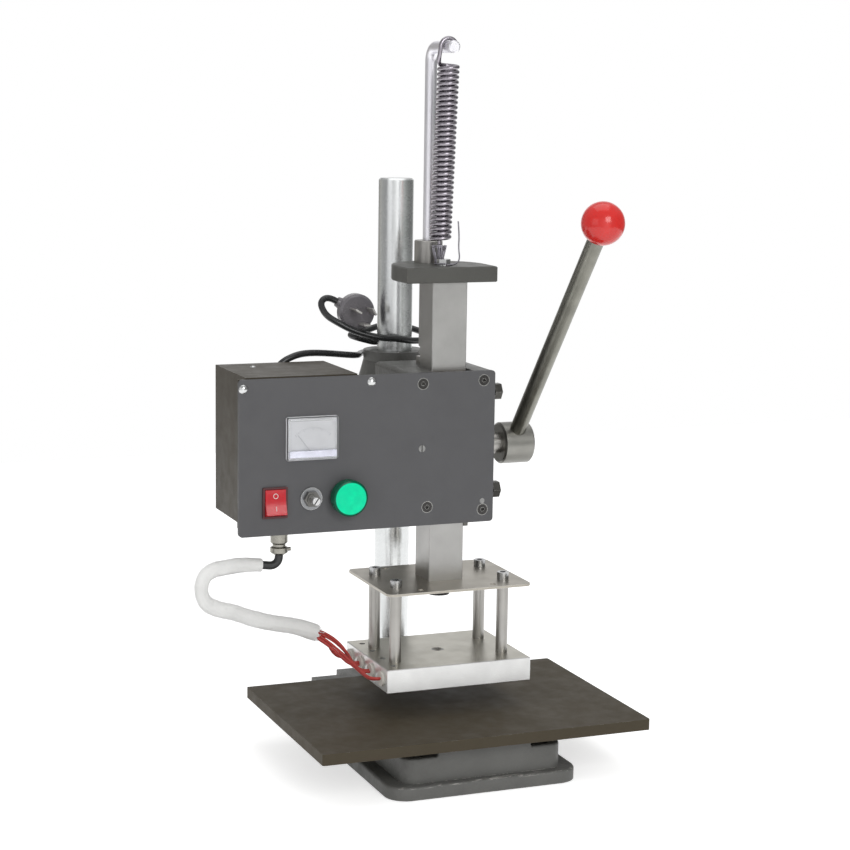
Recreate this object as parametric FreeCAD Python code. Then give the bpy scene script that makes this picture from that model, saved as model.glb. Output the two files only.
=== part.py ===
import FreeCAD, Part
import math
import os

from FreeCAD import Vector

# Bench press that stamps and embosses leather belts with a heated die.
# Millimetres. The origin lies on the underside of the base, straight below the ram.
# +X is to the right of the operator, +Y away from the operator, +Z up.

os.makedirs("parts", exist_ok=True)

# Fits and clearances
running_fit = 0.05
side_clearance = 0.3

# Base casting and work table
base_width = 168.0
base_front = -113.0
base_rear = 150.0
base_height = 39.3
base_corner_r = 18.0
flange_height = 11.0
flange_edge_r = 2.5
plinth_width = 142.0
plinth_setback = 8.0
plinth_corner_r = 12.0
corner_pad_size = 30.0
corner_pad_depth = 17.0
corner_pad_top = 32.0
corner_pad_edge_r = 2.0
bolt_down_r = 4.5
bolt_down_inset = 15.0
table_width = 290.0
table_front = -118.0
table_rear = 84.0
table_thickness = 9.2
table_corner_r = 2.0
table_screw_x = 50.0
table_screw_front_y = -72.0
table_screw_rear_y = 36.0
table_screw_r = 4.0
table_screw_head_r = 6.5
table_screw_head_h = 8.0
table_screw_sink = 12.0
table_thread_depth = 6.5

# Column
column_y = 111.3
column_r = 15.5
column_top = 489.0
column_seat = 6.0
column_chamfer = 1.5
socket_boss_r = 26.0
socket_boss_top = 62.0
clamp_screw_r = 5.0
clamp_screw_z = 50.0

# Ram with its rack
ram_side = 31.0
ram_bottom = 155.5
ram_top = 408.5
gear_module = 2.0
gear_teeth = 16
pressure_angle = math.radians(20.0)
rack_root_clearance = 0.5
backlash = 0.25
rack_first_tooth = -3
rack_last_tooth = 14

# Head casting, which slides on the column
head_half_width = 38.0
head_bottom = 208.0
panel_back = -21.5
head_block_rear = 58.0
head_edge_r = 4.0
pinion_z = 263.0
web_half_width = 24.0
web_bottom = 214.0
web_top = 328.0
collar_r = 27.4
collar_top = 337.5
collar_flare_r = 32.0
collar_flare_low = 312.0
collar_flare_high = 329.0
split_width = 3.0
ear_half_width = 17.0
ear_rear = 162.0
ear_bottom = 226.0
ear_top = 300.0
ear_bolt_y = 152.0
ear_bolt_r = 4.0
ear_bolt_heights = (243.0, 283.0)
side_gib_thickness = 4.0
side_gib_low_end = 201.5
side_gib_high_end = 331.0
gib_screw_r = 4.0
gib_screw_heights = (228.7, 313.5)
gib_nut_h = 6.5
gib_head_gap = 2.5
gib_head_h = 6.5
hex_m8_r = 7.5

# Pinion shaft and lever
shaft_r = 9.0
pinion_half_width = 14.0
pocket_half_width = 15.0
bearing_gib_gap = 1.45
bearing_flange_r = 25.0
bearing_flange_t = 5.0
bearing_boss_length = 8.0
bearing_bore_r = 19.5
left_bush_r = 12.0
shaft_left_end = -42.0
hub_centre_x = 80.0
hub_length = 28.0
hub_r = 18.0
lever_reach_y = -163.0
lever_reach_z = 201.1
lever_r = 7.0
lever_tip_r = 5.0
ball_r = 17.5
ball_flat = 3.0

# Stop plate, guide bush, hanger rod and return spring
stop_half_width = 40.5
stop_front = -20.0
stop_centre_y = 8.5
stop_thickness = 13.0
bush_r = 12.0
bush_height = 18.5
bush_spigot_r = 8.0
hanger_y = 34.0
hanger_r = 5.0
hanger_bottom = 302.0
hanger_axis_z = 601.0
hanger_bend_r = 12.0
hanger_tip_y = -17.0
hanger_chamfer = 1.0
spring_wire = 3.0
spring_mean_r = 7.6
spring_pitch = 4.12
spring_low_y = 8.0
spring_low_z = 444.0
spring_high_y = -3.8
spring_hook_drop = 17.0
spring_hook_gap = 0.3
tie_y = 10.0
tie_height = 16.5
tie_foot_r = 3.6
tie_foot_h = 5.5
tie_top_r = 6.1
tie_wire_d = 1.2
tie_loop_r = 7.3

# Die holder below the ram
plate_width = 130.0
plate_depth = 100.0
plate_thickness = 2.0
plate_corner_r = 6.0
post_x = 48.8
post_y = 25.0
post_r = 5.0
block_height = 20.0
block_top = 91.4
heater_pitch = 25.0
heater_z = 81.5
heater_r = 5.0
heater_length = 110.0
seal_r = 6.2
seal_depth = 4.0

# Front panel and control box
panel_left = -185.5
panel_bottom = 206.5
panel_top = 335.0
panel_thickness = 4.0
panel_corner_r = 3.0
sheet = 1.2
box_left = -179.0
box_right = -83.5
box_rear = 63.0
box_bottom = 214.0
lamp_x = -93.8
lamp_z = 235.5
lamp_case_r = 7.0
knob_x = -124.3
knob_z = 235.4
control_neck_r = 4.5
control_shaft_r = 3.2
control_washer_r = 9.3
rocker_x = -155.3
rocker_z = 233.8
rocker_r = 11.0
rocker_half_width = 8.6
rocker_tilt = -12.0
rocker_body_half_width = 9.7
rocker_body_half_height = 11.9
meter_x = -124.0
meter_half_width = 19.5
meter_half_height = 14.5
meter_flange_half_width = 22.2
meter_flange_half_height = 18.0
meter_z = 285.6
lead_socket_x = -140.0
lead_socket_y = 10.0

# Cords
mains_cord_d = 5.8
sleeve_d = 12.0
lead_cable_d = 7.0
heater_wire_d = 3.6

# Values worked out from the sizes above
ram_half = ram_side / 2.0
pitch_r = gear_module * gear_teeth / 2.0
tooth_pitch = math.pi * gear_module
rack_pitch_y = ram_half - gear_module
pinion_y = rack_pitch_y + pitch_r
pinion_tip_r = pitch_r + gear_module
panel_front = panel_back - panel_thickness
table_top = base_height + table_thickness
block_bottom = block_top - block_height
plate_bottom = ram_bottom - plate_thickness
stop_top = ram_top + stop_thickness
box_top = panel_top + sheet
spring_high_z = hanger_axis_z - spring_hook_drop
spring_turns = round((spring_high_z - spring_low_z) / spring_pitch)
board_y = box_rear - sheet - 8.0
rocker_pivot_y = panel_front - 0.5
lever_length = math.hypot(lever_reach_y, lever_reach_z)
lever_direction = Vector(0, lever_reach_y, lever_reach_z).normalize()
pinion_centre = Vector(0, pinion_y, pinion_z)
heater_rows = [heater_pitch * (k - 1.5) for k in range(4)]

X_AXIS = Vector(1, 0, 0)
Y_AXIS = Vector(0, 1, 0)
Z_AXIS = Vector(0, 0, 1)


def box(x0, x1, y0, y1, z0, z1):
    """A block between two opposite corners."""
    return Part.makeBox(x1 - x0, y1 - y0, z1 - z0, Vector(x0, y0, z0))


def rod(radius, start, end):
    """A round bar from one point to another."""
    axis = Vector(end) - Vector(start)
    return Part.makeCylinder(radius, axis.Length, Vector(start), axis)


def ring(outer_r, inner_r, start, end):
    """A round bar with a hole along it."""
    return rod(outer_r, start, end).cut(rod(inner_r, start, end))


def hex_bar(corner_r, start, end):
    """A hexagonal bar, measured over its corners."""
    axis = Vector(end) - Vector(start)
    side = Vector(0, 0, 1) if abs(axis.z) < 0.5 * axis.Length else Vector(1, 0, 0)
    across = axis.cross(side).normalize()
    up = across.cross(axis).normalize()
    corners = []
    for k in range(7):
        turn = math.radians(60.0 * k)
        corners.append(Vector(start) + across * (corner_r * math.cos(turn)) + up * (corner_r * math.sin(turn)))
    return Part.Face(Part.makePolygon(corners)).extrude(axis)


def rounded_plate(x0, x1, y0, y1, z0, z1, radius):
    """A flat plate with round corners."""
    plate = box(x0, x1, y0, y1, z0, z1)
    upright = [e for e in plate.Edges if abs(e.Vertexes[0].Z - e.Vertexes[1].Z) > 0.5 * (z1 - z0)]
    return plate.makeFillet(radius, upright)


def front_plate(x0, x1, y0, y1, z0, z1, radius):
    """A plate that stands upright, facing the operator, with round corners."""
    plate = box(x0, x1, y0, y1, z0, z1)
    deep = [e for e in plate.Edges if abs(e.Vertexes[0].Y - e.Vertexes[1].Y) > 0.5 * (y1 - y0)]
    return plate.makeFillet(radius, deep)


def turned(profile, centre, axis):
    """A turned piece: profile is a list of (radius, distance along the axis)."""
    points = [Vector(r, 0, d) for r, d in profile]
    points.append(points[0])
    body = Part.Face(Part.makePolygon(points)).revolve(Vector(0, 0, 0), Z_AXIS, 360)
    body.Placement = FreeCAD.Placement(centre, FreeCAD.Rotation(Z_AXIS, axis))
    return body


def fuse_all(shapes):
    """One solid from touching pieces."""
    return shapes[0].multiFuse(shapes[1:]).removeSplitter()


def group(shapes):
    """Separate solids that share one name."""
    return Part.makeCompound(shapes)


def save(name, shape):
    shape.exportStep("parts/" + name + ".step")


def socket_head_screw(head_r, head_h, shank_r, seat, tip):
    """A cap screw with a hexagon socket. seat is the point under its head."""
    inward = (Vector(tip) - Vector(seat)).normalize()
    crown = Vector(seat) - inward * head_h
    screw = rod(head_r, crown, seat).fuse(rod(shank_r, seat, tip)).removeSplitter()
    return screw.cut(hex_bar(head_r * 0.55, crown, crown + inward * (head_h * 0.6)))


def corner_arc(before, corner, after, share=0.45):
    """The arc that rounds one corner of a cord's route, and its radius."""
    run_in = before - corner
    run_out = after - corner
    shorter = min(run_in.Length, run_out.Length)
    run_in.normalize()
    run_out.normalize()
    half_turn = (math.pi - run_in.getAngle(run_out)) / 2.0
    reach = share * shorter
    radius = reach / math.tan(half_turn)
    bisector = (run_in + run_out).normalize()
    middle = corner + bisector * (radius / math.cos(half_turn) - radius)
    return corner + run_in * reach, middle, corner + run_out * reach, radius


def cord_tube(name, points, diameter):
    """A round cord on straight runs joined by tangent arcs."""
    points = [Vector(p) for p in points]
    edges = []
    radii = []
    here = points[0]
    for before, corner, after in zip(points, points[1:], points[2:]):
        start, middle, end, radius = corner_arc(before, corner, after)
        edges.append(Part.LineSegment(here, start).toShape())
        edges.append(Part.Arc(start, middle, end).toShape())
        radii.append(radius)
        here = end
    edges.append(Part.LineSegment(here, points[-1]).toShape())
    path = Part.Wire(edges)
    circle = Part.Wire(Part.makeCircle(diameter / 2.0, points[0], points[1] - points[0]))
    tube = path.makePipeShell([circle], True, False)
    expected = math.pi * diameter * diameter / 4.0 * path.Length
    print(name, "length", round(path.Length, 1), "tightest radius in diameters",
          round(min(radii) / diameter, 2), "volume ratio", round(tube.Volume / expected, 4))
    return tube


# Base

def base_casting():
    half = base_width / 2.0
    plinth_half = plinth_width / 2.0
    plinth_front = base_front + plinth_setback
    plinth_rear = base_rear - plinth_setback
    flange = rounded_plate(-half, half, base_front, base_rear, 0, flange_height, base_corner_r)
    rim = [e for e in flange.Edges if e.BoundBox.ZMin > flange_height - 0.01]
    flange = flange.makeFillet(flange_edge_r, rim)
    plinth = rounded_plate(-plinth_half, plinth_half, plinth_front, plinth_rear,
                           flange_height - 1.0, base_height, plinth_corner_r)
    socket_boss = rod(socket_boss_r, (0, column_y, flange_height), (0, column_y, socket_boss_top))
    casting = fuse_all([flange, plinth, socket_boss])
    hole_x = plinth_half - bolt_down_inset
    for side in (-1, 1):
        outer = side * (plinth_half + 1.0)
        inner = side * (plinth_half - corner_pad_size)
        low_x, high_x = sorted((outer, inner))
        casting = casting.cut(box(low_x, high_x, plinth_front - 1.0, plinth_front + corner_pad_depth,
                                  corner_pad_top, base_height + 1.0))
        casting = casting.cut(box(low_x, high_x, plinth_rear - corner_pad_depth, plinth_rear + 1.0,
                                  corner_pad_top, base_height + 1.0))
        for hole_y in (plinth_front + corner_pad_depth / 2.0, plinth_rear - corner_pad_depth / 2.0):
            casting = casting.cut(rod(bolt_down_r, (side * hole_x, hole_y, -1), (side * hole_x, hole_y, base_height)))
        for screw_y in (table_screw_front_y, table_screw_rear_y):
            spot = Vector(side * table_screw_x, screw_y, 0)
            casting = casting.cut(rod(table_screw_r, spot - Z_AXIS, spot + Z_AXIS * (base_height + 1)))
            casting = casting.cut(rod(table_screw_head_r + side_clearance, spot - Z_AXIS,
                                      spot + Z_AXIS * table_screw_sink))
    pad_rims = []
    for edge in casting.Edges:
        reach = edge.BoundBox
        level = abs(reach.ZMin - corner_pad_top) < 0.01 and abs(reach.ZMax - corner_pad_top) < 0.01
        outside = (reach.XMax > plinth_half - 0.01 or reach.XMin < 0.01 - plinth_half or
                   reach.YMin < plinth_front + 0.01 or reach.YMax > plinth_rear - 0.01)
        if level and outside:
            pad_rims.append(edge)
    casting = casting.makeFillet(corner_pad_edge_r, pad_rims)
    casting = casting.cut(rod(column_r, (0, column_y, column_seat), (0, column_y, socket_boss_top + 1)))
    return casting.cut(rod(clamp_screw_r, (0, column_y, clamp_screw_z),
                           (0, column_y + socket_boss_r + 5, clamp_screw_z)))


def work_table():
    table = rounded_plate(-table_width / 2.0, table_width / 2.0, table_front, table_rear,
                          base_height, table_top, table_corner_r)
    for side in (-1, 1):
        for screw_y in (table_screw_front_y, table_screw_rear_y):
            table = table.cut(rod(table_screw_r, (side * table_screw_x, screw_y, base_height - 1),
                                  (side * table_screw_x, screw_y, base_height + table_thread_depth)))
    return table


def table_screws():
    screws = []
    for side in (-1, 1):
        for screw_y in (table_screw_front_y, table_screw_rear_y):
            seat = (side * table_screw_x, screw_y, table_screw_sink)
            tip = (side * table_screw_x, screw_y, base_height + table_thread_depth)
            screws.append(socket_head_screw(table_screw_head_r, table_screw_head_h, table_screw_r, seat, tip))
    return group(screws)


def column():
    chamfer = column_chamfer
    return turned([(0, 0), (column_r, 0), (column_r, column_top - column_seat - chamfer),
                   (column_r - chamfer, column_top - column_seat), (0, column_top - column_seat)],
                  Vector(0, column_y, column_seat), Z_AXIS)


def column_screw():
    tip = Vector(0, column_y + column_r, clamp_screw_z)
    end = tip + Y_AXIS * (socket_boss_r - column_r + 2.0)
    screw = rod(clamp_screw_r, tip, end).cut(rod(column_r, (0, column_y, 0), (0, column_y, socket_boss_top)))
    return screw.cut(hex_bar(clamp_screw_r * 0.6, end, end - Y_AXIS * 5.0))


# Head casting and what guides the ram

gib_outer_x = ram_half + running_fit + side_gib_thickness
channel_left = -ram_half - running_fit
channel_rear = ram_half + running_fit


def ram_channel(z0, z1):
    return box(channel_left, gib_outer_x, panel_back - 1.0, channel_rear, z0, z1)


def panel_screw_spots():
    """The four countersunk screws that hold the panel on the casting."""
    return [Vector(-27.0, panel_front, panel_top - 9.0), Vector(27.8, panel_front, panel_top - 8.0),
            Vector(-22.0, panel_front, panel_bottom + 15.5), Vector(28.3, panel_front, panel_bottom + 10.5)]


def dowel_spot():
    return Vector(27.8, panel_front, panel_bottom + 18.0)


def set_screw_spot():
    return Vector(-27.4, panel_front, (panel_top + panel_bottom) / 2.0 + 1.0)


def head_casting():
    block = box(-head_half_width, head_half_width, panel_back, head_block_rear, head_bottom, panel_top)
    top_sides = [e for e in block.Edges
                 if e.BoundBox.ZMin > panel_top - 0.1 and e.BoundBox.YLength > 1.0 or
                 e.BoundBox.ZMin > panel_top - 0.1 and e.BoundBox.YMin > 0]
    block = block.makeFillet(head_edge_r, top_sides)
    web = box(-web_half_width, web_half_width, head_block_rear - 2.0, column_y, web_bottom, web_top)
    collar = turned([(0, 0), (collar_flare_r, 0), (collar_flare_r, collar_flare_low - web_bottom),
                     (collar_r, collar_flare_high - web_bottom), (collar_r, collar_top - web_bottom),
                     (0, collar_top - web_bottom)], Vector(0, column_y, web_bottom), Z_AXIS)
    ears = box(-ear_half_width, ear_half_width, column_y, ear_rear, ear_bottom, ear_top)
    side_boss = rod(bearing_flange_r, (head_half_width - 1.0, pinion_y, pinion_z),
                    (head_half_width + bearing_boss_length, pinion_y, pinion_z))
    casting = fuse_all([block, web, collar, ears, side_boss])
    casting = casting.cut(ram_channel(head_bottom - 1.0, panel_top + 1.0))
    casting = casting.cut(rod(column_r + running_fit, (0, column_y, web_bottom - 1), (0, column_y, collar_top + 1)))
    casting = casting.cut(box(-split_width / 2.0, split_width / 2.0, column_y, ear_rear + 1,
                              web_bottom - 1, collar_top + 1))
    for height in ear_bolt_heights:
        casting = casting.cut(rod(ear_bolt_r, (-ear_half_width - 1, ear_bolt_y, height),
                                  (ear_half_width + 1, ear_bolt_y, height)))
    casting = casting.cut(rod(bearing_bore_r, (-pocket_half_width, pinion_y, pinion_z),
                              (head_half_width + bearing_boss_length + 1, pinion_y, pinion_z)))
    casting = casting.cut(rod(left_bush_r, (-head_half_width - 1, pinion_y, pinion_z), (0, pinion_y, pinion_z)))
    casting = casting.cut(rod(hanger_r, (0, hanger_y, hanger_bottom), (0, hanger_y, panel_top + 1)))
    for height in gib_screw_heights:
        casting = casting.cut(rod(gib_screw_r, (0, 0, height), (head_half_width + 1, 0, height)))
    for spot in panel_screw_spots():
        casting = casting.cut(rod(2.5, spot, spot + Y_AXIS * 16.0))
    casting = casting.cut(rod(2.25, dowel_spot(), dowel_spot() + Y_AXIS * 14.0))
    return casting.cut(rod(3.0, set_screw_spot(), set_screw_spot() + Y_AXIS * 12.0))


def clamp_bolts():
    """Two bolts with their nuts, which close the collar on the column."""
    bolts = []
    for height in ear_bolt_heights:
        seat = Vector(ear_half_width, ear_bolt_y, height)
        tip = Vector(-ear_half_width - 9.0, ear_bolt_y, height)
        bolts.append(socket_head_screw(6.5, 8.0, ear_bolt_r, seat, tip))
        start = Vector(-ear_half_width, ear_bolt_y, height)
        end = start - X_AXIS * 6.5
        bolts.append(hex_bar(hex_m8_r, start, end).cut(rod(ear_bolt_r, start, end)))
    return group(bolts)


def front_gib():
    """The bronze strip that the ram's front face runs on."""
    return box(channel_left + running_fit, gib_outer_x - running_fit, panel_back, -channel_rear,
               panel_bottom + 3.0, panel_top - 2.0)


def side_gib():
    return box(ram_half + running_fit, gib_outer_x, -channel_rear + running_fit, channel_rear - running_fit,
               side_gib_low_end, side_gib_high_end)


def gib_screws():
    """Two adjusting screws with their lock nuts."""
    screws = []
    for height in gib_screw_heights:
        tip = Vector(gib_outer_x, 0, height)
        seat = Vector(head_half_width + gib_nut_h + gib_head_gap, 0, height)
        head = hex_bar(hex_m8_r, seat, seat + X_AXIS * gib_head_h)
        screws.append(head.fuse(rod(gib_screw_r, tip, seat)).removeSplitter())
        start = Vector(head_half_width, 0, height)
        end = start + X_AXIS * gib_nut_h
        screws.append(hex_bar(hex_m8_r, start, end).cut(rod(gib_screw_r, start, end)))
    return group(screws)


# Rack, pinion and lever

def ram_bar():
    """A square bar with rack teeth down its rear face."""
    bar = box(-ram_half, ram_half, -ram_half, ram_half, ram_bottom, ram_top)
    corners = [e for e in bar.Edges if e.BoundBox.ZLength > 10]
    bar = bar.makeChamfer(0.6, corners)
    depth = 2 * gear_module + rack_root_clearance
    tip_half = (tooth_pitch / 2.0 - backlash / 2.0) / 2.0 - gear_module * math.tan(pressure_angle)
    mouth_half = tooth_pitch / 2.0 - tip_half
    bottom_half = mouth_half - depth * math.tan(pressure_angle)
    gaps = []
    for k in range(rack_first_tooth, rack_last_tooth + 1):
        z = pinion_z + k * tooth_pitch
        outline = [Vector(-ram_half - 1, ram_half, z - mouth_half), Vector(-ram_half - 1, ram_half, z + mouth_half),
                   Vector(-ram_half - 1, ram_half - depth, z + bottom_half),
                   Vector(-ram_half - 1, ram_half - depth, z - bottom_half)]
        outline.append(outline[0])
        gaps.append(Part.Face(Part.makePolygon(outline)).extrude(X_AXIS * (ram_side + 2)))
    bar = bar.cut(group(gaps))
    for end, inward in ((ram_top, -Z_AXIS), (ram_bottom, Z_AXIS)):
        hole_r = 3.0 if end == ram_top else 6.0
        bar = bar.cut(rod(hole_r, Vector(0, 0, end), Vector(0, 0, end) + inward * 22.0))
    return bar


def involute_point(base_r, radius, side, half_width_angle):
    """A point on a tooth flank, with the tooth pointing along -Y."""
    roll = math.acos(min(1.0, base_r / radius))
    pitch_roll = math.acos(base_r / pitch_r)
    lead = (math.tan(pitch_roll) - pitch_roll) - (math.tan(roll) - roll)
    angle = side * (half_width_angle + lead)
    return Vector(0, -radius * math.cos(angle), radius * math.sin(angle))


def pinion_shaft():
    """The shaft and its pinion, cut from one bar, with involute teeth."""
    base_r = pitch_r * math.cos(pressure_angle)
    root_r = pitch_r - gear_module - rack_root_clearance
    half_width_angle = (tooth_pitch / 2.0 - backlash / 2.0) / 2.0 / pitch_r
    middle_r = (base_r + pinion_tip_r) / 2.0
    low = [involute_point(base_r, base_r, s, half_width_angle) for s in (-1, 1)]
    mid = [involute_point(base_r, middle_r, s, half_width_angle) for s in (-1, 1)]
    top = [involute_point(base_r, pinion_tip_r, s, half_width_angle) for s in (-1, 1)]
    foot = [Vector(0, p.y * (root_r - 0.6) / base_r, p.z * (root_r - 0.6) / base_r) for p in low]
    crown = Vector(0, -pinion_tip_r, 0)
    outline = Part.Wire([Part.LineSegment(foot[0], low[0]).toShape(),
                         Part.Arc(low[0], mid[0], top[0]).toShape(),
                         Part.Arc(top[0], crown, top[1]).toShape(),
                         Part.Arc(top[1], mid[1], low[1]).toShape(),
                         Part.LineSegment(low[1], foot[1]).toShape(),
                         Part.LineSegment(foot[1], foot[0]).toShape()])
    tooth = Part.Face(outline).extrude(X_AXIS * (2 * pinion_half_width))
    tooth.translate(Vector(-pinion_half_width, 0, 0))
    teeth = []
    for k in range(gear_teeth):
        copy = tooth.copy()
        copy.rotate(Vector(0, 0, 0), X_AXIS, 360.0 * k / gear_teeth)
        teeth.append(copy)
    core = rod(root_r, (-pinion_half_width, 0, 0), (pinion_half_width, 0, 0))
    shaft = rod(shaft_r, (shaft_left_end, 0, 0), (hub_centre_x + hub_length / 2.0 + 2.0, 0, 0))
    groove_x = -head_half_width - 1.5
    shaft = shaft.cut(ring(shaft_r + 1, shaft_r - 1, (groove_x - 1.5, 0, 0), (groove_x, 0, 0)))
    gear = fuse_all([core, shaft] + teeth)
    gear.translate(pinion_centre)
    return gear


def retaining_ring():
    start = pinion_centre + X_AXIS * (-head_half_width - 3.0)
    end = pinion_centre + X_AXIS * (-head_half_width - 1.5)
    whole = ring(shaft_r + 4.0, shaft_r - 1.0, start, end)
    return whole.cut(box(start.x - 1, end.x + 1, pinion_y - 3.0, pinion_y + 3.0, pinion_z - 30, pinion_z))


def left_bush():
    return ring(left_bush_r, shaft_r + running_fit, pinion_centre - X_AXIS * head_half_width,
                pinion_centre - X_AXIS * pocket_half_width)


def right_bearing():
    """The flanged bearing that closes the pinion's bore."""
    face_x = head_half_width + bearing_boss_length
    inner = pinion_centre + X_AXIS * (gib_outer_x + bearing_gib_gap)
    barrel = rod(bearing_bore_r, inner, pinion_centre + X_AXIS * face_x)
    flange = rod(bearing_flange_r, pinion_centre + X_AXIS * face_x,
                 pinion_centre + X_AXIS * (face_x + bearing_flange_t))
    bearing = barrel.fuse(flange).removeSplitter()
    return bearing.cut(rod(shaft_r + running_fit, pinion_centre, pinion_centre + X_AXIS * 100.0))


def lever_hub():
    left = pinion_centre + X_AXIS * (hub_centre_x - hub_length / 2.0)
    right = pinion_centre + X_AXIS * (hub_centre_x + hub_length / 2.0)
    hub = rod(hub_r, left, right)
    hub = hub.makeChamfer(1.5, [e for e in hub.Edges if e.BoundBox.XLength < 0.01])
    hub = hub.cut(rod(shaft_r, left, right))
    centre = pinion_centre + X_AXIS * hub_centre_x
    hub = hub.cut(rod(lever_r, centre + lever_direction * shaft_r * 0.6, centre + lever_direction * 40.0))
    return hub.cut(rod(3.0, centre, centre - lever_direction * 30.0))


def hub_screw():
    centre = pinion_centre + X_AXIS * hub_centre_x
    outer = centre - lever_direction * (hub_r + 1.0)
    screw = rod(3.0, centre - lever_direction * shaft_r * 0.9, outer).cut(
        rod(shaft_r, pinion_centre, pinion_centre + X_AXIS * 120.0))
    return screw.cut(hex_bar(1.7, outer, outer + lever_direction * 3.0))


def lever_rod():
    centre = pinion_centre + X_AXIS * hub_centre_x
    start = centre + lever_direction * shaft_r * 0.6
    shoulder = centre + lever_direction * (lever_length - ball_r + ball_flat)
    tip = centre + lever_direction * (lever_length + 4.0)
    bar = rod(lever_r, start, shoulder).fuse(rod(lever_tip_r, shoulder, tip)).removeSplitter()
    return bar.cut(rod(shaft_r, pinion_centre, pinion_centre + X_AXIS * 120.0))


def ball_knob():
    centre = pinion_centre + X_AXIS * hub_centre_x + lever_direction * lever_length
    ball = Part.makeSphere(ball_r, centre)
    ball = ball.cut(rod(ball_r + 1, centre - lever_direction * (ball_r - ball_flat),
                        centre - lever_direction * (ball_r + 5.0)))
    return ball.cut(rod(lever_tip_r, centre - lever_direction * (ball_r + 1.0), centre + lever_direction * 4.0))


# Stop plate, spring and hanger

def stop_outline(z0, z1):
    """A plate with a straight front and a round back."""
    back = box(-stop_half_width, stop_half_width, stop_front, stop_centre_y, z0, z1)
    return back.fuse(rod(stop_half_width, (0, stop_centre_y, z0), (0, stop_centre_y, z1))).common(
        box(-60, 60, stop_front, 60, z0, z1)).removeSplitter()


def stop_plate():
    plate = stop_outline(ram_top, stop_top)
    plate = plate.makeChamfer(0.8, [e for e in plate.Edges if e.BoundBox.ZLength < 0.01])
    plate = plate.cut(rod(3.0, (0, 0, ram_top - 1), (0, 0, stop_top + 1)))
    return plate.cut(rod(bush_spigot_r, (0, hanger_y, ram_top - 1), (0, hanger_y, stop_top + 1)))


def stop_bolt():
    washer = ring(6.0, 3.0, (0, 0, stop_top), (0, 0, stop_top + 1.2))
    head = hex_bar(5.8, (0, 0, stop_top + 1.2), (0, 0, stop_top + 5.2))
    shank = rod(3.0, (0, 0, ram_top - 14.0), (0, 0, stop_top + 1.2))
    return fuse_all([washer, head, shank])


def guide_bush():
    bush = rod(bush_r, (0, hanger_y, stop_top), (0, hanger_y, stop_top + bush_height))
    bush = bush.makeChamfer(0.7, [e for e in bush.Edges if e.BoundBox.ZMin > stop_top + 1])
    bush = bush.fuse(rod(bush_spigot_r, (0, hanger_y, ram_top + 2.0), (0, hanger_y, stop_top))).removeSplitter()
    return bush.cut(rod(hanger_r + running_fit, (0, hanger_y, ram_top), (0, hanger_y, stop_top + 30)))


def hanger_rod():
    """A round rod that stands in the casting and turns forward at its top."""
    bend_z = hanger_axis_z - hanger_bend_r
    bend_y = hanger_y - hanger_bend_r
    middle = Vector(0, bend_y + hanger_bend_r * math.sqrt(0.5), bend_z + hanger_bend_r * math.sqrt(0.5))
    path = Part.Wire([Part.LineSegment(Vector(0, hanger_y, hanger_bottom), Vector(0, hanger_y, bend_z)).toShape(),
                      Part.Arc(Vector(0, hanger_y, bend_z), middle, Vector(0, bend_y, hanger_axis_z)).toShape(),
                      Part.LineSegment(Vector(0, bend_y, hanger_axis_z),
                                       Vector(0, hanger_tip_y, hanger_axis_z)).toShape()])
    circle = Part.Wire(Part.makeCircle(hanger_r, Vector(0, hanger_y, hanger_bottom), Z_AXIS))
    bar = path.makePipeShell([circle], True, False)
    return bar.makeChamfer(hanger_chamfer, [e for e in bar.Edges if e.BoundBox.YMax < hanger_tip_y + 0.01])


def hanger_nut():
    start = Vector(0, hanger_y, panel_top)
    end = start + Z_AXIS * 6.0
    return hex_bar(9.2, start, end).cut(rod(hanger_r, start, end))


def spring_point(turn):
    """A point on the spring's centre line, turn counted in whole curls."""
    share = turn / spring_turns
    angle = 2.0 * math.pi * turn
    return Vector(spring_mean_r * math.sin(angle),
                  spring_low_y + (spring_high_y - spring_low_y) * share - spring_mean_r * math.cos(angle),
                  spring_low_z + (spring_high_z - spring_low_z) * share)


def spring_direction(turn):
    step = 0.001
    return (spring_point(turn + step) - spring_point(turn - step)).normalize()


def biarc(start, start_dir, end, end_dir):
    """Two arcs that leave start and reach end along the given directions."""
    chord = end - start
    total = start_dir + end_dir
    a = 2.0 * (1.0 - start_dir.dot(end_dir))
    b = 2.0 * chord.dot(total)
    c = -chord.dot(chord)
    if a < 1e-9:
        reach = -c / b
    else:
        reach = (-b + math.sqrt(b * b - 4.0 * a * c)) / (2.0 * a)
    knee_in = start + start_dir * reach
    knee_out = end - end_dir * reach
    joint = (knee_in + knee_out) * 0.5
    return [tangent_arc(start, start_dir, joint), tangent_arc(joint, (knee_out - knee_in).normalize(), end)]


def tangent_arc(start, direction, end):
    chord = end - start
    across = chord - direction * chord.dot(direction)
    if across.Length < 1e-7:
        return Part.LineSegment(start, end).toShape()
    across.normalize()
    radius = chord.dot(chord) / (2.0 * chord.dot(across))
    centre = start + across * radius
    middle = centre + ((start + end) * 0.5 - centre).normalize() * radius
    return Part.Arc(start, middle, end).toShape()


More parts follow.
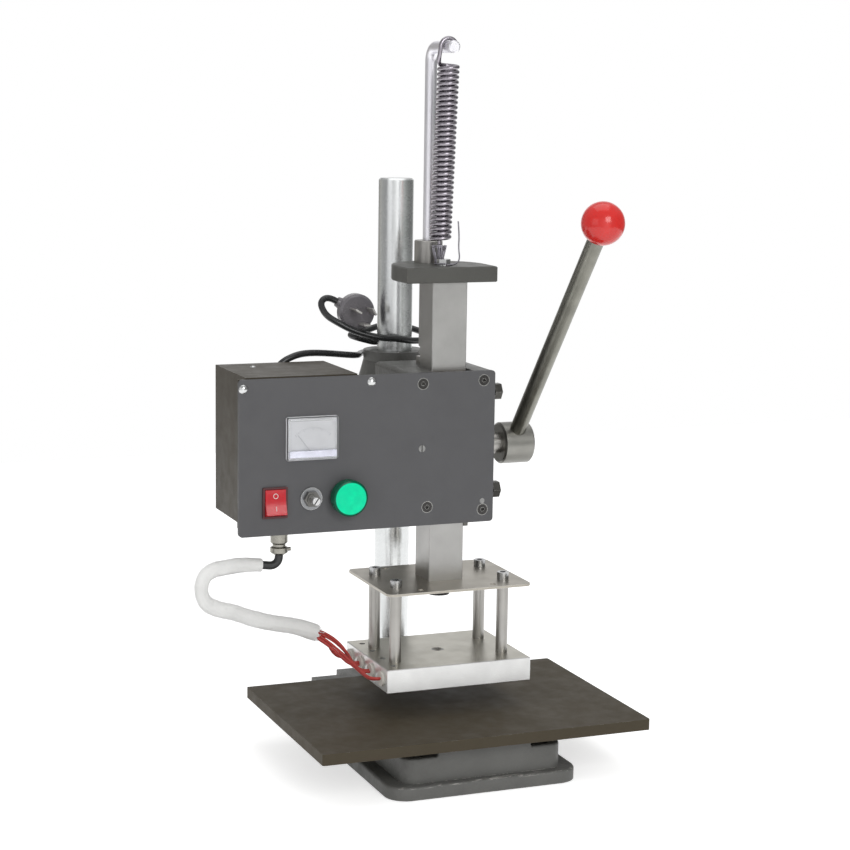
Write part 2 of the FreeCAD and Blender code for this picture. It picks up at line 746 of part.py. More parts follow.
def return_spring():
    """An extension spring: a lower leg, its curls and a hook over the hanger."""
    leg_low = Vector(0, tie_y, stop_top + tie_height)
    leg_high = leg_low + Z_AXIS * spring_wire
    first_turn = -0.25
    last_turn = spring_turns + 0.6
    edges = [Part.LineSegment(leg_low, leg_high).toShape()]
    edges += biarc(leg_high, Z_AXIS, spring_point(first_turn), spring_direction(first_turn))
    stations = [first_turn] + [k / 2.0 for k in range(2 * spring_turns + 1)] + [last_turn]
    for here, after in zip(stations, stations[1:]):
        edges += biarc(spring_point(here), spring_direction(here), spring_point(after), spring_direction(after))
    hook_r = hanger_r + spring_wire / 2.0 + spring_hook_gap
    rise = Vector(-hook_r, spring_high_y, hanger_axis_z)
    over = Vector(hook_r, spring_high_y, hanger_axis_z)
    edges += biarc(spring_point(last_turn), spring_direction(last_turn), rise, Z_AXIS)
    edges.append(Part.Arc(rise, Vector(0, spring_high_y, hanger_axis_z + hook_r), over).toShape())
    edges.append(Part.LineSegment(over, over - Z_AXIS * spring_wire).toShape())
    path = Part.Wire(edges)
    circle = Part.Wire(Part.makeCircle(spring_wire / 2.0, leg_low, Z_AXIS))
    spring = path.makePipeShell([circle], True, False)
    print_spring_gap(path, spring)
    return spring


def print_spring_gap(path, spring):
    """The least gap of the spring to itself, and its volume against section times length."""
    samples = []
    for edge in path.Edges:
        count = max(2, int(edge.Length))
        step = (edge.LastParameter - edge.FirstParameter) / count
        samples += [edge.valueAt(edge.FirstParameter + step * i) for i in range(count)]
    half_turn = int(math.pi * spring_mean_r)
    least = min(p.distanceToPoint(q) for i, p in enumerate(samples)
                for q in samples[i + half_turn:i + 6 * half_turn])
    expected = math.pi * spring_wire * spring_wire / 4.0 * path.Length
    bends = min(edge.Curve.Radius for edge in path.Edges if hasattr(edge.Curve, "Radius"))
    print("return_spring least gap", round(least - spring_wire, 2), "volume ratio",
          round(spring.Volume / expected, 4), "tightest bend", round(bends, 2))


def spring_tie():
    """Soft wire that binds the spring's lower leg to the stop plate's bolt, with its loose end."""
    lump = turned([(0, 0), (tie_foot_r, 0), (tie_foot_r, tie_foot_h), (tie_top_r, tie_height - 2.5),
                   (tie_top_r - 1.5, tie_height), (0, tie_height)], Vector(0, tie_y, stop_top), Z_AXIS)
    level = stop_top + tie_wire_d / 2.0 + 0.05
    loop = Part.makeTorus(tie_loop_r, tie_wire_d / 2.0, Vector(0, 0, level), Z_AXIS)
    loose_end = cord_tube("spring_tie", [(tie_loop_r - 0.4, -1.5, level), (10.8, -3.0, level + 0.6),
                                         (13.4, -3.0, level + 5.0), (12.4, -2.0, level + 14.0),
                                         (13.0, -2.0, level + 24.0), (12.2, -1.0, level + 36.0)], tie_wire_d)
    return fuse_all([lump, loop, loose_end])


# Die holder

def die_plate():
    plate = rounded_plate(-plate_width / 2.0, plate_width / 2.0, -plate_depth / 2.0, plate_depth / 2.0,
                          plate_bottom, ram_bottom, plate_corner_r)
    holes = [(0, 0, 6.0)]
    for sx in (-1, 1):
        for sy in (-1, 1):
            holes.append((sx * post_x, sy * post_y, 3.0))
            holes.append((sx * (plate_width / 2.0 - 32.5), sy * (plate_depth / 2.0 - 9.0), 2.6))
    for x, y, r in holes:
        plate = plate.cut(rod(r, (x, y, plate_bottom - 1), (x, y, ram_bottom + 1)))
    return plate


def plate_screws():
    """The centre bolt that holds the plate on the ram, and a screw into each post."""
    screws = [socket_head_screw(9.3, 12.8, 6.0, (0, 0, plate_bottom), (0, 0, ram_bottom + 20.0))]
    for sx in (-1, 1):
        for sy in (-1, 1):
            x, y = sx * post_x, sy * post_y
            screws.append(socket_head_screw(5.0, 6.0, 3.0, (x, y, ram_bottom), (x, y, plate_bottom - 12.0)))
    return group(screws)


def post(side_x, side_y):
    x, y = side_x * post_x, side_y * post_y
    bar = rod(post_r, (x, y, block_top), (x, y, plate_bottom))
    bar = bar.cut(rod(3.0, (x, y, plate_bottom - 16.0), (x, y, plate_bottom + 1)))
    return bar.fuse(rod(3.0, (x, y, block_top - 8.0), (x, y, block_top))).removeSplitter()


def heating_block():
    block = box(-plate_width / 2.0, plate_width / 2.0, -plate_depth / 2.0, plate_depth / 2.0,
                block_bottom, block_top)
    block = block.makeChamfer(0.6, block.Edges)
    left = -plate_width / 2.0
    for y in heater_rows:
        block = block.cut(rod(heater_r, (left - 1, y, heater_z), (left + seal_depth + heater_length, y, heater_z)))
        block = block.cut(rod(seal_r, (left - 1, y, heater_z), (left + seal_depth, y, heater_z)))
        block = block.cut(rod(2.5, (left + 10.0, y, heater_z), (left + 10.0, y, block_top + 1)))
    for sx in (-1, 1):
        for sy in (-1, 1):
            x, y = sx * post_x, sy * post_y
            block = block.cut(rod(3.0, (x, y, block_top - 8.0), (x, y, block_top + 1)))
    hole = rod(3.0, (0, 0, block_top - 11.0), (0, 0, block_top + 1))
    sink = Part.makeCone(3.0, 5.5, 2.5, Vector(0, 0, block_top - 2.5), Z_AXIS)
    return block.cut(hole.fuse(sink))


def heaters():
    """Four heating cartridges, each with its fibre seal at the block's face."""
    left = -plate_width / 2.0
    cartridges = []
    for y in heater_rows:
        seal = rod(seal_r, (left - 2.0, y, heater_z), (left + seal_depth, y, heater_z))
        barrel = rod(heater_r, (left + seal_depth, y, heater_z),
                     (left + seal_depth + heater_length - 2.0, y, heater_z))
        cartridges.append(seal.fuse(barrel).removeSplitter())
    return group(cartridges)


def heater_screws():
    left = -plate_width / 2.0 + 10.0
    screws = []
    for y in heater_rows:
        top = Vector(left, y, block_top - 0.8)
        screw = rod(2.5, Vector(left, y, heater_z + heater_r), top)
        screws.append(screw.cut(hex_bar(1.45, top, top - Z_AXIS * 2.0)))
    return group(screws)


# Front panel, control box and controls

def box_screw_spots():
    return [Vector(panel_left + 3.6, panel_front, panel_top - 7.5), Vector(-72.3, panel_front, panel_top - 5.5)]


def lid_screw_spot():
    return Vector(box_left + 25.0, box_rear - 24.5, box_top)


def front_panel():
    panel = front_plate(panel_left, head_half_width, panel_front, panel_back, panel_bottom, panel_top,
                        panel_corner_r)
    through = Y_AXIS * (panel_thickness + 2.0)
    for spot in panel_screw_spots():
        panel = panel.cut(rod(2.5, spot - Y_AXIS, spot + through))
        panel = panel.cut(Part.makeCone(4.9, 2.5, 2.4, spot, Y_AXIS))
    for spot, radius in [(s, 1.6) for s in box_screw_spots()] + [(dowel_spot(), 2.25), (set_screw_spot(), 3.0)]:
        panel = panel.cut(rod(radius, spot - Y_AXIS, spot + through))
    for x, z, radius in ((lamp_x, lamp_z, lamp_case_r), (knob_x, knob_z, control_neck_r)):
        panel = panel.cut(rod(radius, (x, panel_front - 1, z), (x, panel_back + 1, z)))
    panel = panel.cut(box(rocker_x - rocker_body_half_width, rocker_x + rocker_body_half_width,
                          panel_front - 1, panel_back + 1,
                          rocker_z - rocker_body_half_height, rocker_z + rocker_body_half_height))
    return panel.cut(box(meter_x - meter_half_width, meter_x + meter_half_width, panel_front - 1, panel_back + 1,
                         meter_z - meter_half_height, meter_z + meter_half_height))


def panel_screws():
    screws = []
    for spot in panel_screw_spots():
        head = Part.makeCone(4.9, 2.5, 2.4, spot, Y_AXIS)
        screw = head.fuse(rod(2.5, spot + Y_AXIS * 2.4, spot + Y_AXIS * 16.0)).removeSplitter()
        screws.append(screw.cut(hex_bar(1.8, spot, spot + Y_AXIS * 1.6)))
    return group(screws)


def box_screws():
    screws = []
    for spot in box_screw_spots():
        dome = Part.makeSphere(4.6, spot + Y_AXIS * 2.4).common(
            box(spot.x - 6, spot.x + 6, spot.y - 6, spot.y, spot.z - 6, spot.z + 6))
        shank = rod(1.6, spot, spot + Y_AXIS * (panel_thickness + sheet + 2.0))
        screws.append(dome.fuse(shank).removeSplitter())
    centre = lid_screw_spot()
    dome = Part.makeSphere(2.6, centre - Z_AXIS * 1.2).common(
        box(centre.x - 5, centre.x + 5, centre.y - 5, centre.y + 5, centre.z, centre.z + 5))
    screws.append(dome.fuse(rod(1.6, centre - Z_AXIS * 6.0, centre)).removeSplitter())
    return group(screws)


def panel_pins():
    """A dowel that places the panel, and a slotted screw that presses on the wear strip's side."""
    pin = rod(2.25, dowel_spot() - Y_AXIS * 0.4, dowel_spot() + Y_AXIS * 14.0)
    spot = set_screw_spot()
    screw = rod(3.0, spot - Y_AXIS * 0.3, spot + Y_AXIS * 12.0)
    slot = box(spot.x - 0.5, spot.x + 0.5, spot.y - 1, spot.y + 1.2, spot.z - 4, spot.z + 4)
    return group([pin, screw.cut(slot)])


def control_box():
    """A folded sheet case, open towards the panel, with a flange or a tab for each screw."""
    outer = box(box_left, box_right, panel_back, box_rear, box_bottom, box_top)
    inner = box(box_left + sheet, box_right - sheet, panel_back - 1, box_rear - sheet,
                box_bottom + sheet, box_top - sheet)
    case = outer.cut(inner)
    left_flange = box(panel_left, box_left + sheet, panel_back, panel_back + sheet, box_bottom, panel_top)
    right_tab = box(box_right - sheet, -65.0, panel_back, panel_back + sheet, panel_top - 18.0, panel_top)
    case = fuse_all([case, left_flange, right_tab])
    for spot in box_screw_spots():
        case = case.cut(rod(1.6, spot, spot + Y_AXIS * 12.0))
    case = case.cut(rod(6.0, (lead_socket_x, lead_socket_y, box_bottom - 1),
                        (lead_socket_x, lead_socket_y, box_bottom + 3)))
    case = case.cut(rod(mains_gland_r, mains_exit - Y_AXIS * 3.0, mains_exit + Y_AXIS * 3.0))
    for x, z in board_spots():
        case = case.cut(rod(1.5, (x, box_rear - 3, z), (x, box_rear + 3, z)))
    return case.cut(rod(1.6, lid_screw_spot() - Z_AXIS * 3.0, lid_screw_spot() + Z_AXIS * 3.0))


def board_spots():
    return [(x, z) for x in (-172.0, -96.0) for z in (232.0, 312.0)]


def circuit_board():
    board = box(-177.0, -91.0, board_y - 1.6, board_y, 227.0, 317.0)
    parts = [box(-170.0, -138.0, board_y - 21.6, board_y - 1.6, 282.0, 308.0),
             box(-128.0, -98.0, board_y - 12.6, board_y - 1.6, 240.0, 252.0),
             rod(6.0, (-112, board_y - 17.6, 292), (-112, board_y - 1.6, 292))]
    board = fuse_all([board] + parts)
    for x, z in board_spots():
        board = board.cut(rod(1.5, (x, board_y - 5, z), (x, board_y + 5, z)))
    return board


def board_spacers():
    spacers = []
    for x, z in board_spots():
        sleeve = rod(3.0, (x, board_y, z), (x, box_rear - sheet, z))
        head = rod(2.8, (x, board_y - 3.6, z), (x, board_y - 1.6, z))
        shank = rod(1.5, (x, board_y - 1.6, z), (x, box_rear, z))
        outer_head = rod(2.8, (x, box_rear, z), (x, box_rear + 1.8, z))
        spacers.append(fuse_all([sleeve, head, shank, outer_head]))
    return group(spacers)


def meter_body():
    """The instrument's case: a flange in front of the panel and a body behind it."""
    flange = front_plate(meter_x - meter_flange_half_width, meter_x + meter_flange_half_width,
                         panel_front - 1.6, panel_front,
                         meter_z - meter_flange_half_height, meter_z + meter_flange_half_height, 2.0)
    body = box(meter_x - meter_half_width, meter_x + meter_half_width, panel_front, 4.0,
               meter_z - meter_half_height, meter_z + meter_half_height)
    return flange.fuse(body).removeSplitter()


def meter_cover():
    """The clear cap over the dial, with a sloping rim."""
    front_y = panel_front - 6.5
    back_y = panel_front - 1.6

    def outline(y, inset):
        inset += 0.5
        low, high = meter_z - meter_flange_half_height + inset, meter_z + meter_flange_half_height - inset
        left, right = meter_x - meter_flange_half_width + inset, meter_x + meter_flange_half_width - inset
        return Part.makePolygon([Vector(left, y, low), Vector(right, y, low), Vector(right, y, high),
                                 Vector(left, y, high), Vector(left, y, low)])

    outer = Part.makeLoft([outline(back_y, 0.0), outline(front_y, 1.6)], True)
    inner = Part.makeLoft([outline(back_y + 0.001, 1.4), outline(front_y + 1.2, 2.8)], True)
    return outer.cut(inner)



def rocker_frame():
    wide = rocker_body_half_width + 0.9
    tall = rocker_body_half_height + 0.9
    flange = front_plate(rocker_x - wide, rocker_x + wide, panel_front - 1.8, panel_front,
                         rocker_z - tall, rocker_z + tall, 1.0)
    body = box(rocker_x - rocker_body_half_width, rocker_x + rocker_body_half_width,
               panel_front, panel_front + 17.0,
               rocker_z - rocker_body_half_height, rocker_z + rocker_body_half_height)
    frame = flange.fuse(body).removeSplitter()
    half = rocker_half_width + side_clearance
    pocket = rod(rocker_r + side_clearance, (rocker_x - half, rocker_pivot_y, rocker_z),
                 (rocker_x + half, rocker_pivot_y, rocker_z))
    mouth = box(rocker_x - half, rocker_x + half, panel_front - 5, rocker_pivot_y,
                rocker_z - rocker_r - side_clearance, rocker_z + rocker_r + side_clearance)
    pins = rod(1.2 + running_fit, (rocker_x - half - 0.5, rocker_pivot_y, rocker_z),
               (rocker_x + half + 0.5, rocker_pivot_y, rocker_z))
    return frame.cut(pocket).cut(mouth).cut(pins)


def rocker():
    """The switch key: round ends about its pivot and a hollowed face."""
    reach = 4.2
    end_u = math.sqrt(rocker_r * rocker_r - reach * reach)
    low_v = -4.0
    low_u = math.sqrt(rocker_r * rocker_r - low_v * low_v)

    def at(u, v):
        return Vector(rocker_x - rocker_half_width, rocker_pivot_y - v, rocker_z + u)

    face = Part.Wire([Part.Arc(at(-end_u, reach), at(0, reach - 1.3), at(end_u, reach)).toShape(),
                      Part.Arc(at(end_u, reach), at(rocker_r, 0), at(low_u, low_v)).toShape(),
                      Part.LineSegment(at(low_u, low_v), at(-low_u, low_v)).toShape(),
                      Part.Arc(at(-low_u, low_v), at(-rocker_r, 0), at(-end_u, reach)).toShape()])
    key = Part.Face(face).extrude(X_AXIS * (2 * rocker_half_width))
    pin_reach = rocker_half_width + side_clearance + 0.3
    key = key.fuse(rod(1.2, (rocker_x - pin_reach, rocker_pivot_y, rocker_z),
                       (rocker_x + pin_reach, rocker_pivot_y, rocker_z))).removeSplitter()
    key.rotate(Vector(rocker_x, rocker_pivot_y, rocker_z), X_AXIS, rocker_tilt)
    return key


def control_body():
    """The rotary control's case behind the panel, with its threaded neck and nut."""
    case = rod(8.0, (knob_x, panel_back, knob_z), (knob_x, panel_back + 9.0, knob_z))
    neck = rod(control_neck_r, (knob_x, panel_front - 5.5, knob_z), (knob_x, panel_back, knob_z))
    nut_seat = Vector(knob_x, panel_front - 1.2, knob_z)
    nut = hex_bar(6.9, nut_seat, nut_seat - Y_AXIS * 3.2)
    body = fuse_all([case, neck, nut])
    return body.cut(rod(control_shaft_r + running_fit, (knob_x, panel_front - 6, knob_z),
                        (knob_x, panel_front + 6, knob_z)))


def control_washer():
    return ring(control_washer_r, control_neck_r, (knob_x, panel_front - 1.2, knob_z), (knob_x, panel_front, knob_z))


def control_shaft():
    """The slotted spindle that is turned to set the heat."""
    front = panel_front - 14.0
    shaft = rod(control_shaft_r, (knob_x, front, knob_z), (knob_x, panel_front + 5.5, knob_z))
    slot = box(knob_x - 0.5, knob_x + 0.5, front - 1, front + 7.0, knob_z - 4, knob_z + 4)
    shaft = shaft.cut(slot)
    shaft.rotate(Vector(knob_x, 0, knob_z), Y_AXIS, 35.0)
    return shaft


def lamp_bezel():
    return ring(13.4, 11.5, (lamp_x, panel_front - 3.0, lamp_z), (lamp_x, panel_front, lamp_z))


def lamp_lens():
    """A stepped lens: a neck inside the bezel, and a wider cap in front of it."""
    return turned([(0, 0), (11.5, 0), (11.5, 3.0), (15.0, 3.5), (15.0, 10.8), (14.4, 11.6), (13.2, 12.0), (0, 12.3)],
                  Vector(lamp_x, panel_front, lamp_z), Vector(0, -1, 0))


def lamp_body():
    """The lamp's case behind the panel, with its ring nut."""
    case = rod(lamp_case_r, (lamp_x, panel_front, lamp_z), (lamp_x, 12.0, lamp_z))
    nut = rod(lamp_case_r + 1.8, (lamp_x, panel_back, lamp_z), (lamp_x, panel_back + 5.0, lamp_z))
    return case.fuse(nut).removeSplitter()


def lead_connector():
    """The threaded socket in the case's underside and the coupling screwed on it."""
    centre = Vector(lead_socket_x, lead_socket_y, box_bottom)
    socket = turned([(0, 8.0), (6.0, 8.0), (6.0, 0), (8.2, 0), (8.2, -3.5), (6.3, -3.5), (6.3, -10.0), (0, -10.0)],
                    centre, Z_AXIS)
    barrel = turned([(0, -10.0), (7.2, -10.0), (7.2, -21.0), (5.4, -22.5), (5.4, -24.5), (7.4, -25.5),
                     (7.4, -29.5), (4.6, -31.5), (0, -31.5)], centre, Z_AXIS)
    screw = rod(1.6, centre + Vector(5.0, 0, -27.5), centre + Vector(10.0, 0, -27.5))
    return group([socket, barrel.fuse(screw).removeSplitter()])


# Cords

mains_gland_r = 5.5
mains_exit = Vector(-112.0, box_rear, 272.0)
mains_gland_length = 24.0
plug_centre = Vector(-38.1, 102.0, 372.1)
plug_exit_dir = Vector(-0.86, 0.10, 0.50).normalize()
plug_turn = math.radians(-30.0)
plug_pins_shift = 3.3
plug_neck_r = 4.4
plug_neck_length = 18.5
plug_neck_start = plug_centre + Vector(0, 9.0, 0)
plug_neck_end = plug_neck_start + plug_exit_dir * plug_neck_length
pin_length = 15.5

mains_route = [
    (-112.0, 87.0, 272.0), (-111.5, 101.0, 271.0), (-110.0, 110.0, 262.0), (-112.0, 111.0, 246.0),
    (-122.0, 105.0, 235.0), (-135.0, 96.0, 240.0), (-142.0, 86.0, 260.0), (-143.0, 78.0, 283.0),
    (-139.0, 72.0, 305.0), (-130.0, 69.5, 322.0), (-119.7, 68.5, 335.2), (-108.5, 70.0, 340.0),
    (-98.5, 73.0, 341.7), (-85.2, 80.0, 341.0), (-67.5, 91.0, 338.5), (-49.8, 104.0, 335.3),
    (-31.2, 119.0, 332.1), (-22.0, 139.5, 331.3), (-8.0, 153.5, 331.0), (10.0, 161.5, 333.0),
    (24.0, 156.0, 341.0), (20.0, 143.0, 346.5), (6.0, 137.5, 343.5), (-10.6, 130.5, 341.8),
    (-21.5, 121.5, 345.0), (-29.5, 118.4, 347.2), (-35.0, 122.0, 348.8), (-35.5, 129.5, 349.5),
    (-28.0, 136.3, 349.9), (-16.0, 139.8, 351.5), (-4.0, 142.4, 355.0), (11.0, 148.0, 355.5),
    (28.0, 139.0, 352.5), (36.0, 119.0, 348.5), (30.0, 101.0, 346.5), (10.0, 94.0, 346.5),
    (-4.8, 90.0, 349.6), (-18.7, 90.5, 350.5), (-32.3, 93.0, 353.0), (-45.7, 96.0, 357.6),
    (-57.8, 99.8, 364.2), (-67.2, 105.5, 370.5), (-70.2, 112.0, 381.0), (-61.9, 113.8, 386.0)]

lead_cable_route = [
    (-140.0, 10.0, 182.5), (-140.0, 10.0, 178.5), (-142.3, 10.0, 174.9), (-146.2, 10.0, 173.2),
    (-151.6, 10.0, 173.98), (-155.5, 10.0, 174.4)]

sleeve_route = [
    (-155.5, 10.0, 174.4), (-168.5, 10.0, 175.8), (-184.0, 10.0, 174.8), (-202.0, 10.0, 172.5),
    (-208.0, 10.0, 159.5), (-204.5, 10.3, 146.0), (-193.0, 10.8, 139.3), (-179.5, 11.5, 136.0),
    (-162.5, 13.0, 128.4), (-142.8, 15.5, 122.2), (-121.5, 18.5, 117.4), (-104.7, 22.0, 109.8)]

heater_wire_routes = [
    [(-104.0, 20.1, 107.5), (-96.5, 18.5, 103.0), (-89.5, 9.0, 96.5), (-84.5, -4.0, 91.5),
     (-80.5, -18.0, 87.0), (-77.5, -29.0, 83.4), (-74.5, -37.5, 81.5), (-67.0, -37.5, 81.5)],
    [(-102.4, 20.5, 111.1), (-94.5, 20.0, 107.0), (-86.5, 13.0, 101.5), (-81.5, 1.5, 94.0),
     (-78.5, -8.0, 86.0), (-73.5, -12.5, 81.5), (-67.0, -12.5, 81.5)],
    [(-104.9, 24.0, 107.5), (-97.0, 25.2, 103.5), (-88.0, 21.0, 97.0), (-81.0, 15.0, 88.5),
     (-74.5, 12.5, 81.5), (-67.0, 12.5, 81.5)],
    [(-103.2, 24.3, 111.1), (-95.0, 27.0, 107.5), (-87.5, 33.0, 99.5), (-81.5, 37.0, 89.0),
     (-74.5, 37.5, 81.5), (-67.0, 37.5, 81.5)]]


def mains_gland():
    """A tapered strain relief at the back of the case."""
    return turned([(0, -3.0), (mains_gland_r, -3.0), (mains_gland_r, 0), (8.0, 0), (8.0, 2.5),
                   (5.6, 3.5), (3.9, mains_gland_length), (0, mains_gland_length)], mains_exit, Y_AXIS)


def plug_body():
    """The moulded plug: a round face that draws in to the cord's neck."""
    disc = turned([(0, 0), (14.2, 0), (16.2, 2.0), (16.4, 9.0), (14.0, 14.5), (9.0, 17.0), (0, 17.5)],
                  plug_centre, Y_AXIS)
    taper = Part.makeCone(8.5, plug_neck_r, plug_neck_length, plug_neck_start, plug_exit_dir)
    return disc.fuse(taper).removeSplitter()


def plug_pins():
    """Three flat blades: one in line with the plug's axis and two slanting in towards it."""
    along = Vector(math.cos(plug_turn), 0, math.sin(plug_turn))
    across = Vector(-math.sin(plug_turn), 0, math.cos(plug_turn))
    middle = plug_centre + along * plug_pins_shift
    spots = [(middle - along * 8.5, 0.0), (middle + along * 4.6 + across * 6.6, -30.0),
             (middle + along * 4.6 - across * 6.6, 30.0)]
    pins = []
    for spot, slant in spots:
        blade = box(-3.15, 3.15, -pin_length, 0, -0.8, 0.8)
        blade.rotate(Vector(0, 0, 0), Y_AXIS, -(math.degrees(plug_turn) + slant))
        blade.translate(spot)
        pins.append(blade)
    return group(pins)


def heater_wires():
    """A flexible lead from the sleeve's open end to each cartridge."""
    return group([cord_tube("heater_wires", route, heater_wire_d) for route in heater_wire_routes])


pieces = {
    "base_casting": base_casting, "work_table": work_table, "table_screws": table_screws,
    "column": column, "column_screw": column_screw,
    "head_casting": head_casting, "clamp_bolts": clamp_bolts,
    "front_gib": front_gib, "side_gib": side_gib, "gib_screws": gib_screws,
    "ram_bar": ram_bar, "pinion_shaft": pinion_shaft, "retaining_ring": retaining_ring,
    "left_bush": left_bush, "right_bearing": right_bearing, "lever_hub": lever_hub,
    "hub_screw": hub_screw, "lever_rod": lever_rod, "ball_knob": ball_knob,
    "stop_plate": stop_plate, "stop_bolt": stop_bolt, "guide_bush": guide_bush,
    "hanger_rod": hanger_rod, "hanger_nut": hanger_nut, "return_spring": return_spring,
    "spring_tie": spring_tie, "die_plate": die_plate, "plate_screws": plate_screws,
    "heating_block": heating_block, "heaters": heaters, "heater_screws": heater_screws,
    "front_panel": front_panel, "panel_screws": panel_screws, "box_screws": box_screws,
    "panel_pins": panel_pins, "control_box": control_box, "circuit_board": circuit_board,
    "board_spacers": board_spacers,
    "meter_body": meter_body, "meter_cover": meter_cover,
    "rocker_frame": rocker_frame, "rocker": rocker, "control_body": control_body,
    "control_washer": control_washer, "control_shaft": control_shaft,
    "lamp_bezel": lamp_bezel, "lamp_lens": lamp_lens, "lamp_body": lamp_body,
    "lead_connector": lead_connector, "mains_gland": mains_gland,
    "plug_body": plug_body, "plug_pins": plug_pins, "heater_wires": heater_wires,
}

for name, make in pieces.items():
    save(name, make())
for label_x, side_x in (("left", -1), ("right", 1)):
    for label_y, side_y in (("front", -1), ("rear", 1)):
        save("post_" + label_y + "_" + label_x, post(side_x, side_y))
save("power_cord", cord_tube("power_cord", mains_route + [tuple(plug_neck_end)], mains_cord_d))
save("heater_sleeve", cord_tube("heater_sleeve", sleeve_route, sleeve_d))
save("lead_cable", cord_tube("lead_cable", lead_cable_route, lead_cable_d))
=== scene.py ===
"""Looks of a bench press that stamps and embosses leather belts with a heated die."""

import math

import bmesh
import bpy
from mathutils import Matrix, Vector, noise


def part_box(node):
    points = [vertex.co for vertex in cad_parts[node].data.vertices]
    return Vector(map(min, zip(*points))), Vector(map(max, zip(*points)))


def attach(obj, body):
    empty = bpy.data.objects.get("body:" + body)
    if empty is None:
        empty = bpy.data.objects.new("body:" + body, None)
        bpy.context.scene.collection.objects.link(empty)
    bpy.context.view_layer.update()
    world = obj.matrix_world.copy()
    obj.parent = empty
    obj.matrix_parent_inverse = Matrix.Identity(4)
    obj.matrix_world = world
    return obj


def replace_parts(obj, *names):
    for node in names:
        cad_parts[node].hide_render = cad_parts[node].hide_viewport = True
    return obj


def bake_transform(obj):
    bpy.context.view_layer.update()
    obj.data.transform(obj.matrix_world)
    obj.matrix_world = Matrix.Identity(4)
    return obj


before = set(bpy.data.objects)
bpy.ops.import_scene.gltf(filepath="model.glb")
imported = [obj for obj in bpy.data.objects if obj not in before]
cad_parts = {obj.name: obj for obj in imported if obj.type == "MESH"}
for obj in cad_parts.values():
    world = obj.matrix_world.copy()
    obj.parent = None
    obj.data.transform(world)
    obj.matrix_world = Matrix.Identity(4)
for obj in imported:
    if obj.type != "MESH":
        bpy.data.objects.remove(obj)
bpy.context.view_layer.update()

bl_info = {
    "name": "Leather belt embossing press",
    "version": (1, 0, 0),
    "blender": (4, 5, 0),
    "location": "3D View > Sidebar > Press",
    "description": "Finishes, cords, spring and studio of a bench embossing press",
    "category": "Object",
}


# Colours and sizes that a user would change

def linear(hex_colour):
    """An sRGB hex colour as linear red, green, blue and full opacity."""
    digits = hex_colour.lstrip("#")
    channels = [int(digits[k:k + 2], 16) / 255.0 for k in (0, 2, 4)]
    return [c / 12.92 if c <= 0.04045 else ((c + 0.055) / 1.055) ** 2.4 for c in channels] + [1.0]


def colour(name, description, hex_colour):
    return bpy.props.FloatVectorProperty(name=name, description=description, subtype="COLOR", size=4,
                                         min=0.0, max=1.0, default=linear(hex_colour))


def length(name, description, default):
    return bpy.props.FloatProperty(name=name, description=description, default=default, min=0.0,
                                   precision=4, subtype="DISTANCE", unit="LENGTH")


class PressColours(bpy.types.PropertyGroup):
    casting: colour("Castings", "Grey enamel on the base and the head", "#646461")
    chip: colour("Chips", "Bare iron where the enamel has worn off an edge", "#a7a59f")
    panel: colour("Front panel", "Matt grey paint on the panel", "#565658")
    case: colour("Control box", "Brownish grey paint on the folded case", "#423c31")
    table: colour("Work table", "Black oxide on the table's steel", "#4c4538")
    steel: colour("Ground steel", "Bare steel of the ram", "#aaa9a7")
    chrome: colour("Column", "Plated column", "#dddfdf")
    aluminium: colour("Heated block", "Milled aluminium", "#dededd")
    plate: colour("Die plate", "Cold rolled steel sheet", "#aca79d")
    zinc: colour("Bright screws", "Zinc plate", "#cfd0d0")
    brass: colour("Pins", "Plated brass of the plug's blades", "#e2e0dc")
    ball: colour("Ball", "Red phenolic of the lever's ball", "#de2c28")
    rocker: colour("Switch key", "Red plastic of the switch key", "#c9202c")
    mark: colour("Switch marks", "Pale paint in the key's marks", "#eee6e2")
    # The lens's bright green is partly a painted light from its reflector; the darker green is the bezel's
    # own colour and, on the lens's skirt, a painted shade.
    lens: colour("Lamp lens", "Green plastic of the lamp", "#04f0b4")
    ring_green_and_skirt_shade: colour("Lamp skirt", "Darker green of the lamp's side and ring", "#065a42")
    plastic: colour("Black plastic", "Moulded black plastic", "#2b2b2c")
    cord: colour("Cord", "Black sheath of the mains cord", "#2c2d2e")
    plug: colour("Plug", "Dark grey PVC of the moulded plug", "#79767a")
    meter: colour("Meter", "Pale plastic of the meter's case", "#d9dadc")
    dial: colour("Dial", "Printed card of the meter", "#c9cacd")
    sleeve: colour("Sleeve", "Bleached glass fibre of the sleeve", "#fdfdfb")
    wire: colour("Heater wires", "Red silicone of the heater wires", "#bb4640")
    binding: colour("Binding wire", "Annealed iron wire at the spring's foot", "#a5a2aa")
    floor: colour("Floor", "Pale studio floor", "#f4f4f4")


class PressSizes(bpy.types.PropertyGroup):
    cord_across: length("Cord diameter", "Across the mains cord", 0.0058)
    cable_across: length("Cable diameter", "Across the short cable below the box", 0.0070)
    sleeve_across: length("Sleeve diameter", "Across the glass fibre sleeve", 0.0120)
    wire_across: length("Wire diameter", "Across one red heater wire", 0.0022)
    spring_wire: length("Spring wire", "Across the return spring's wire", 0.0035)
    spring_mean: length("Spring radius", "From the spring's axis to the middle of its wire", 0.0076)
    tie_wire: length("Binding wire diameter", "Across the wire at the spring's foot", 0.0012)
    edge_wear: length("Edge wear", "How far chips reach in from an edge", 0.0011)
    key_tilt: bpy.props.FloatProperty(name="Key tilt", description="How far the key is pressed at its top",
                                      default=math.radians(-12.0), subtype="ANGLE", unit="ROTATION")


# The route of each cord, in metres. The sleeve's starts where the cable's ends.

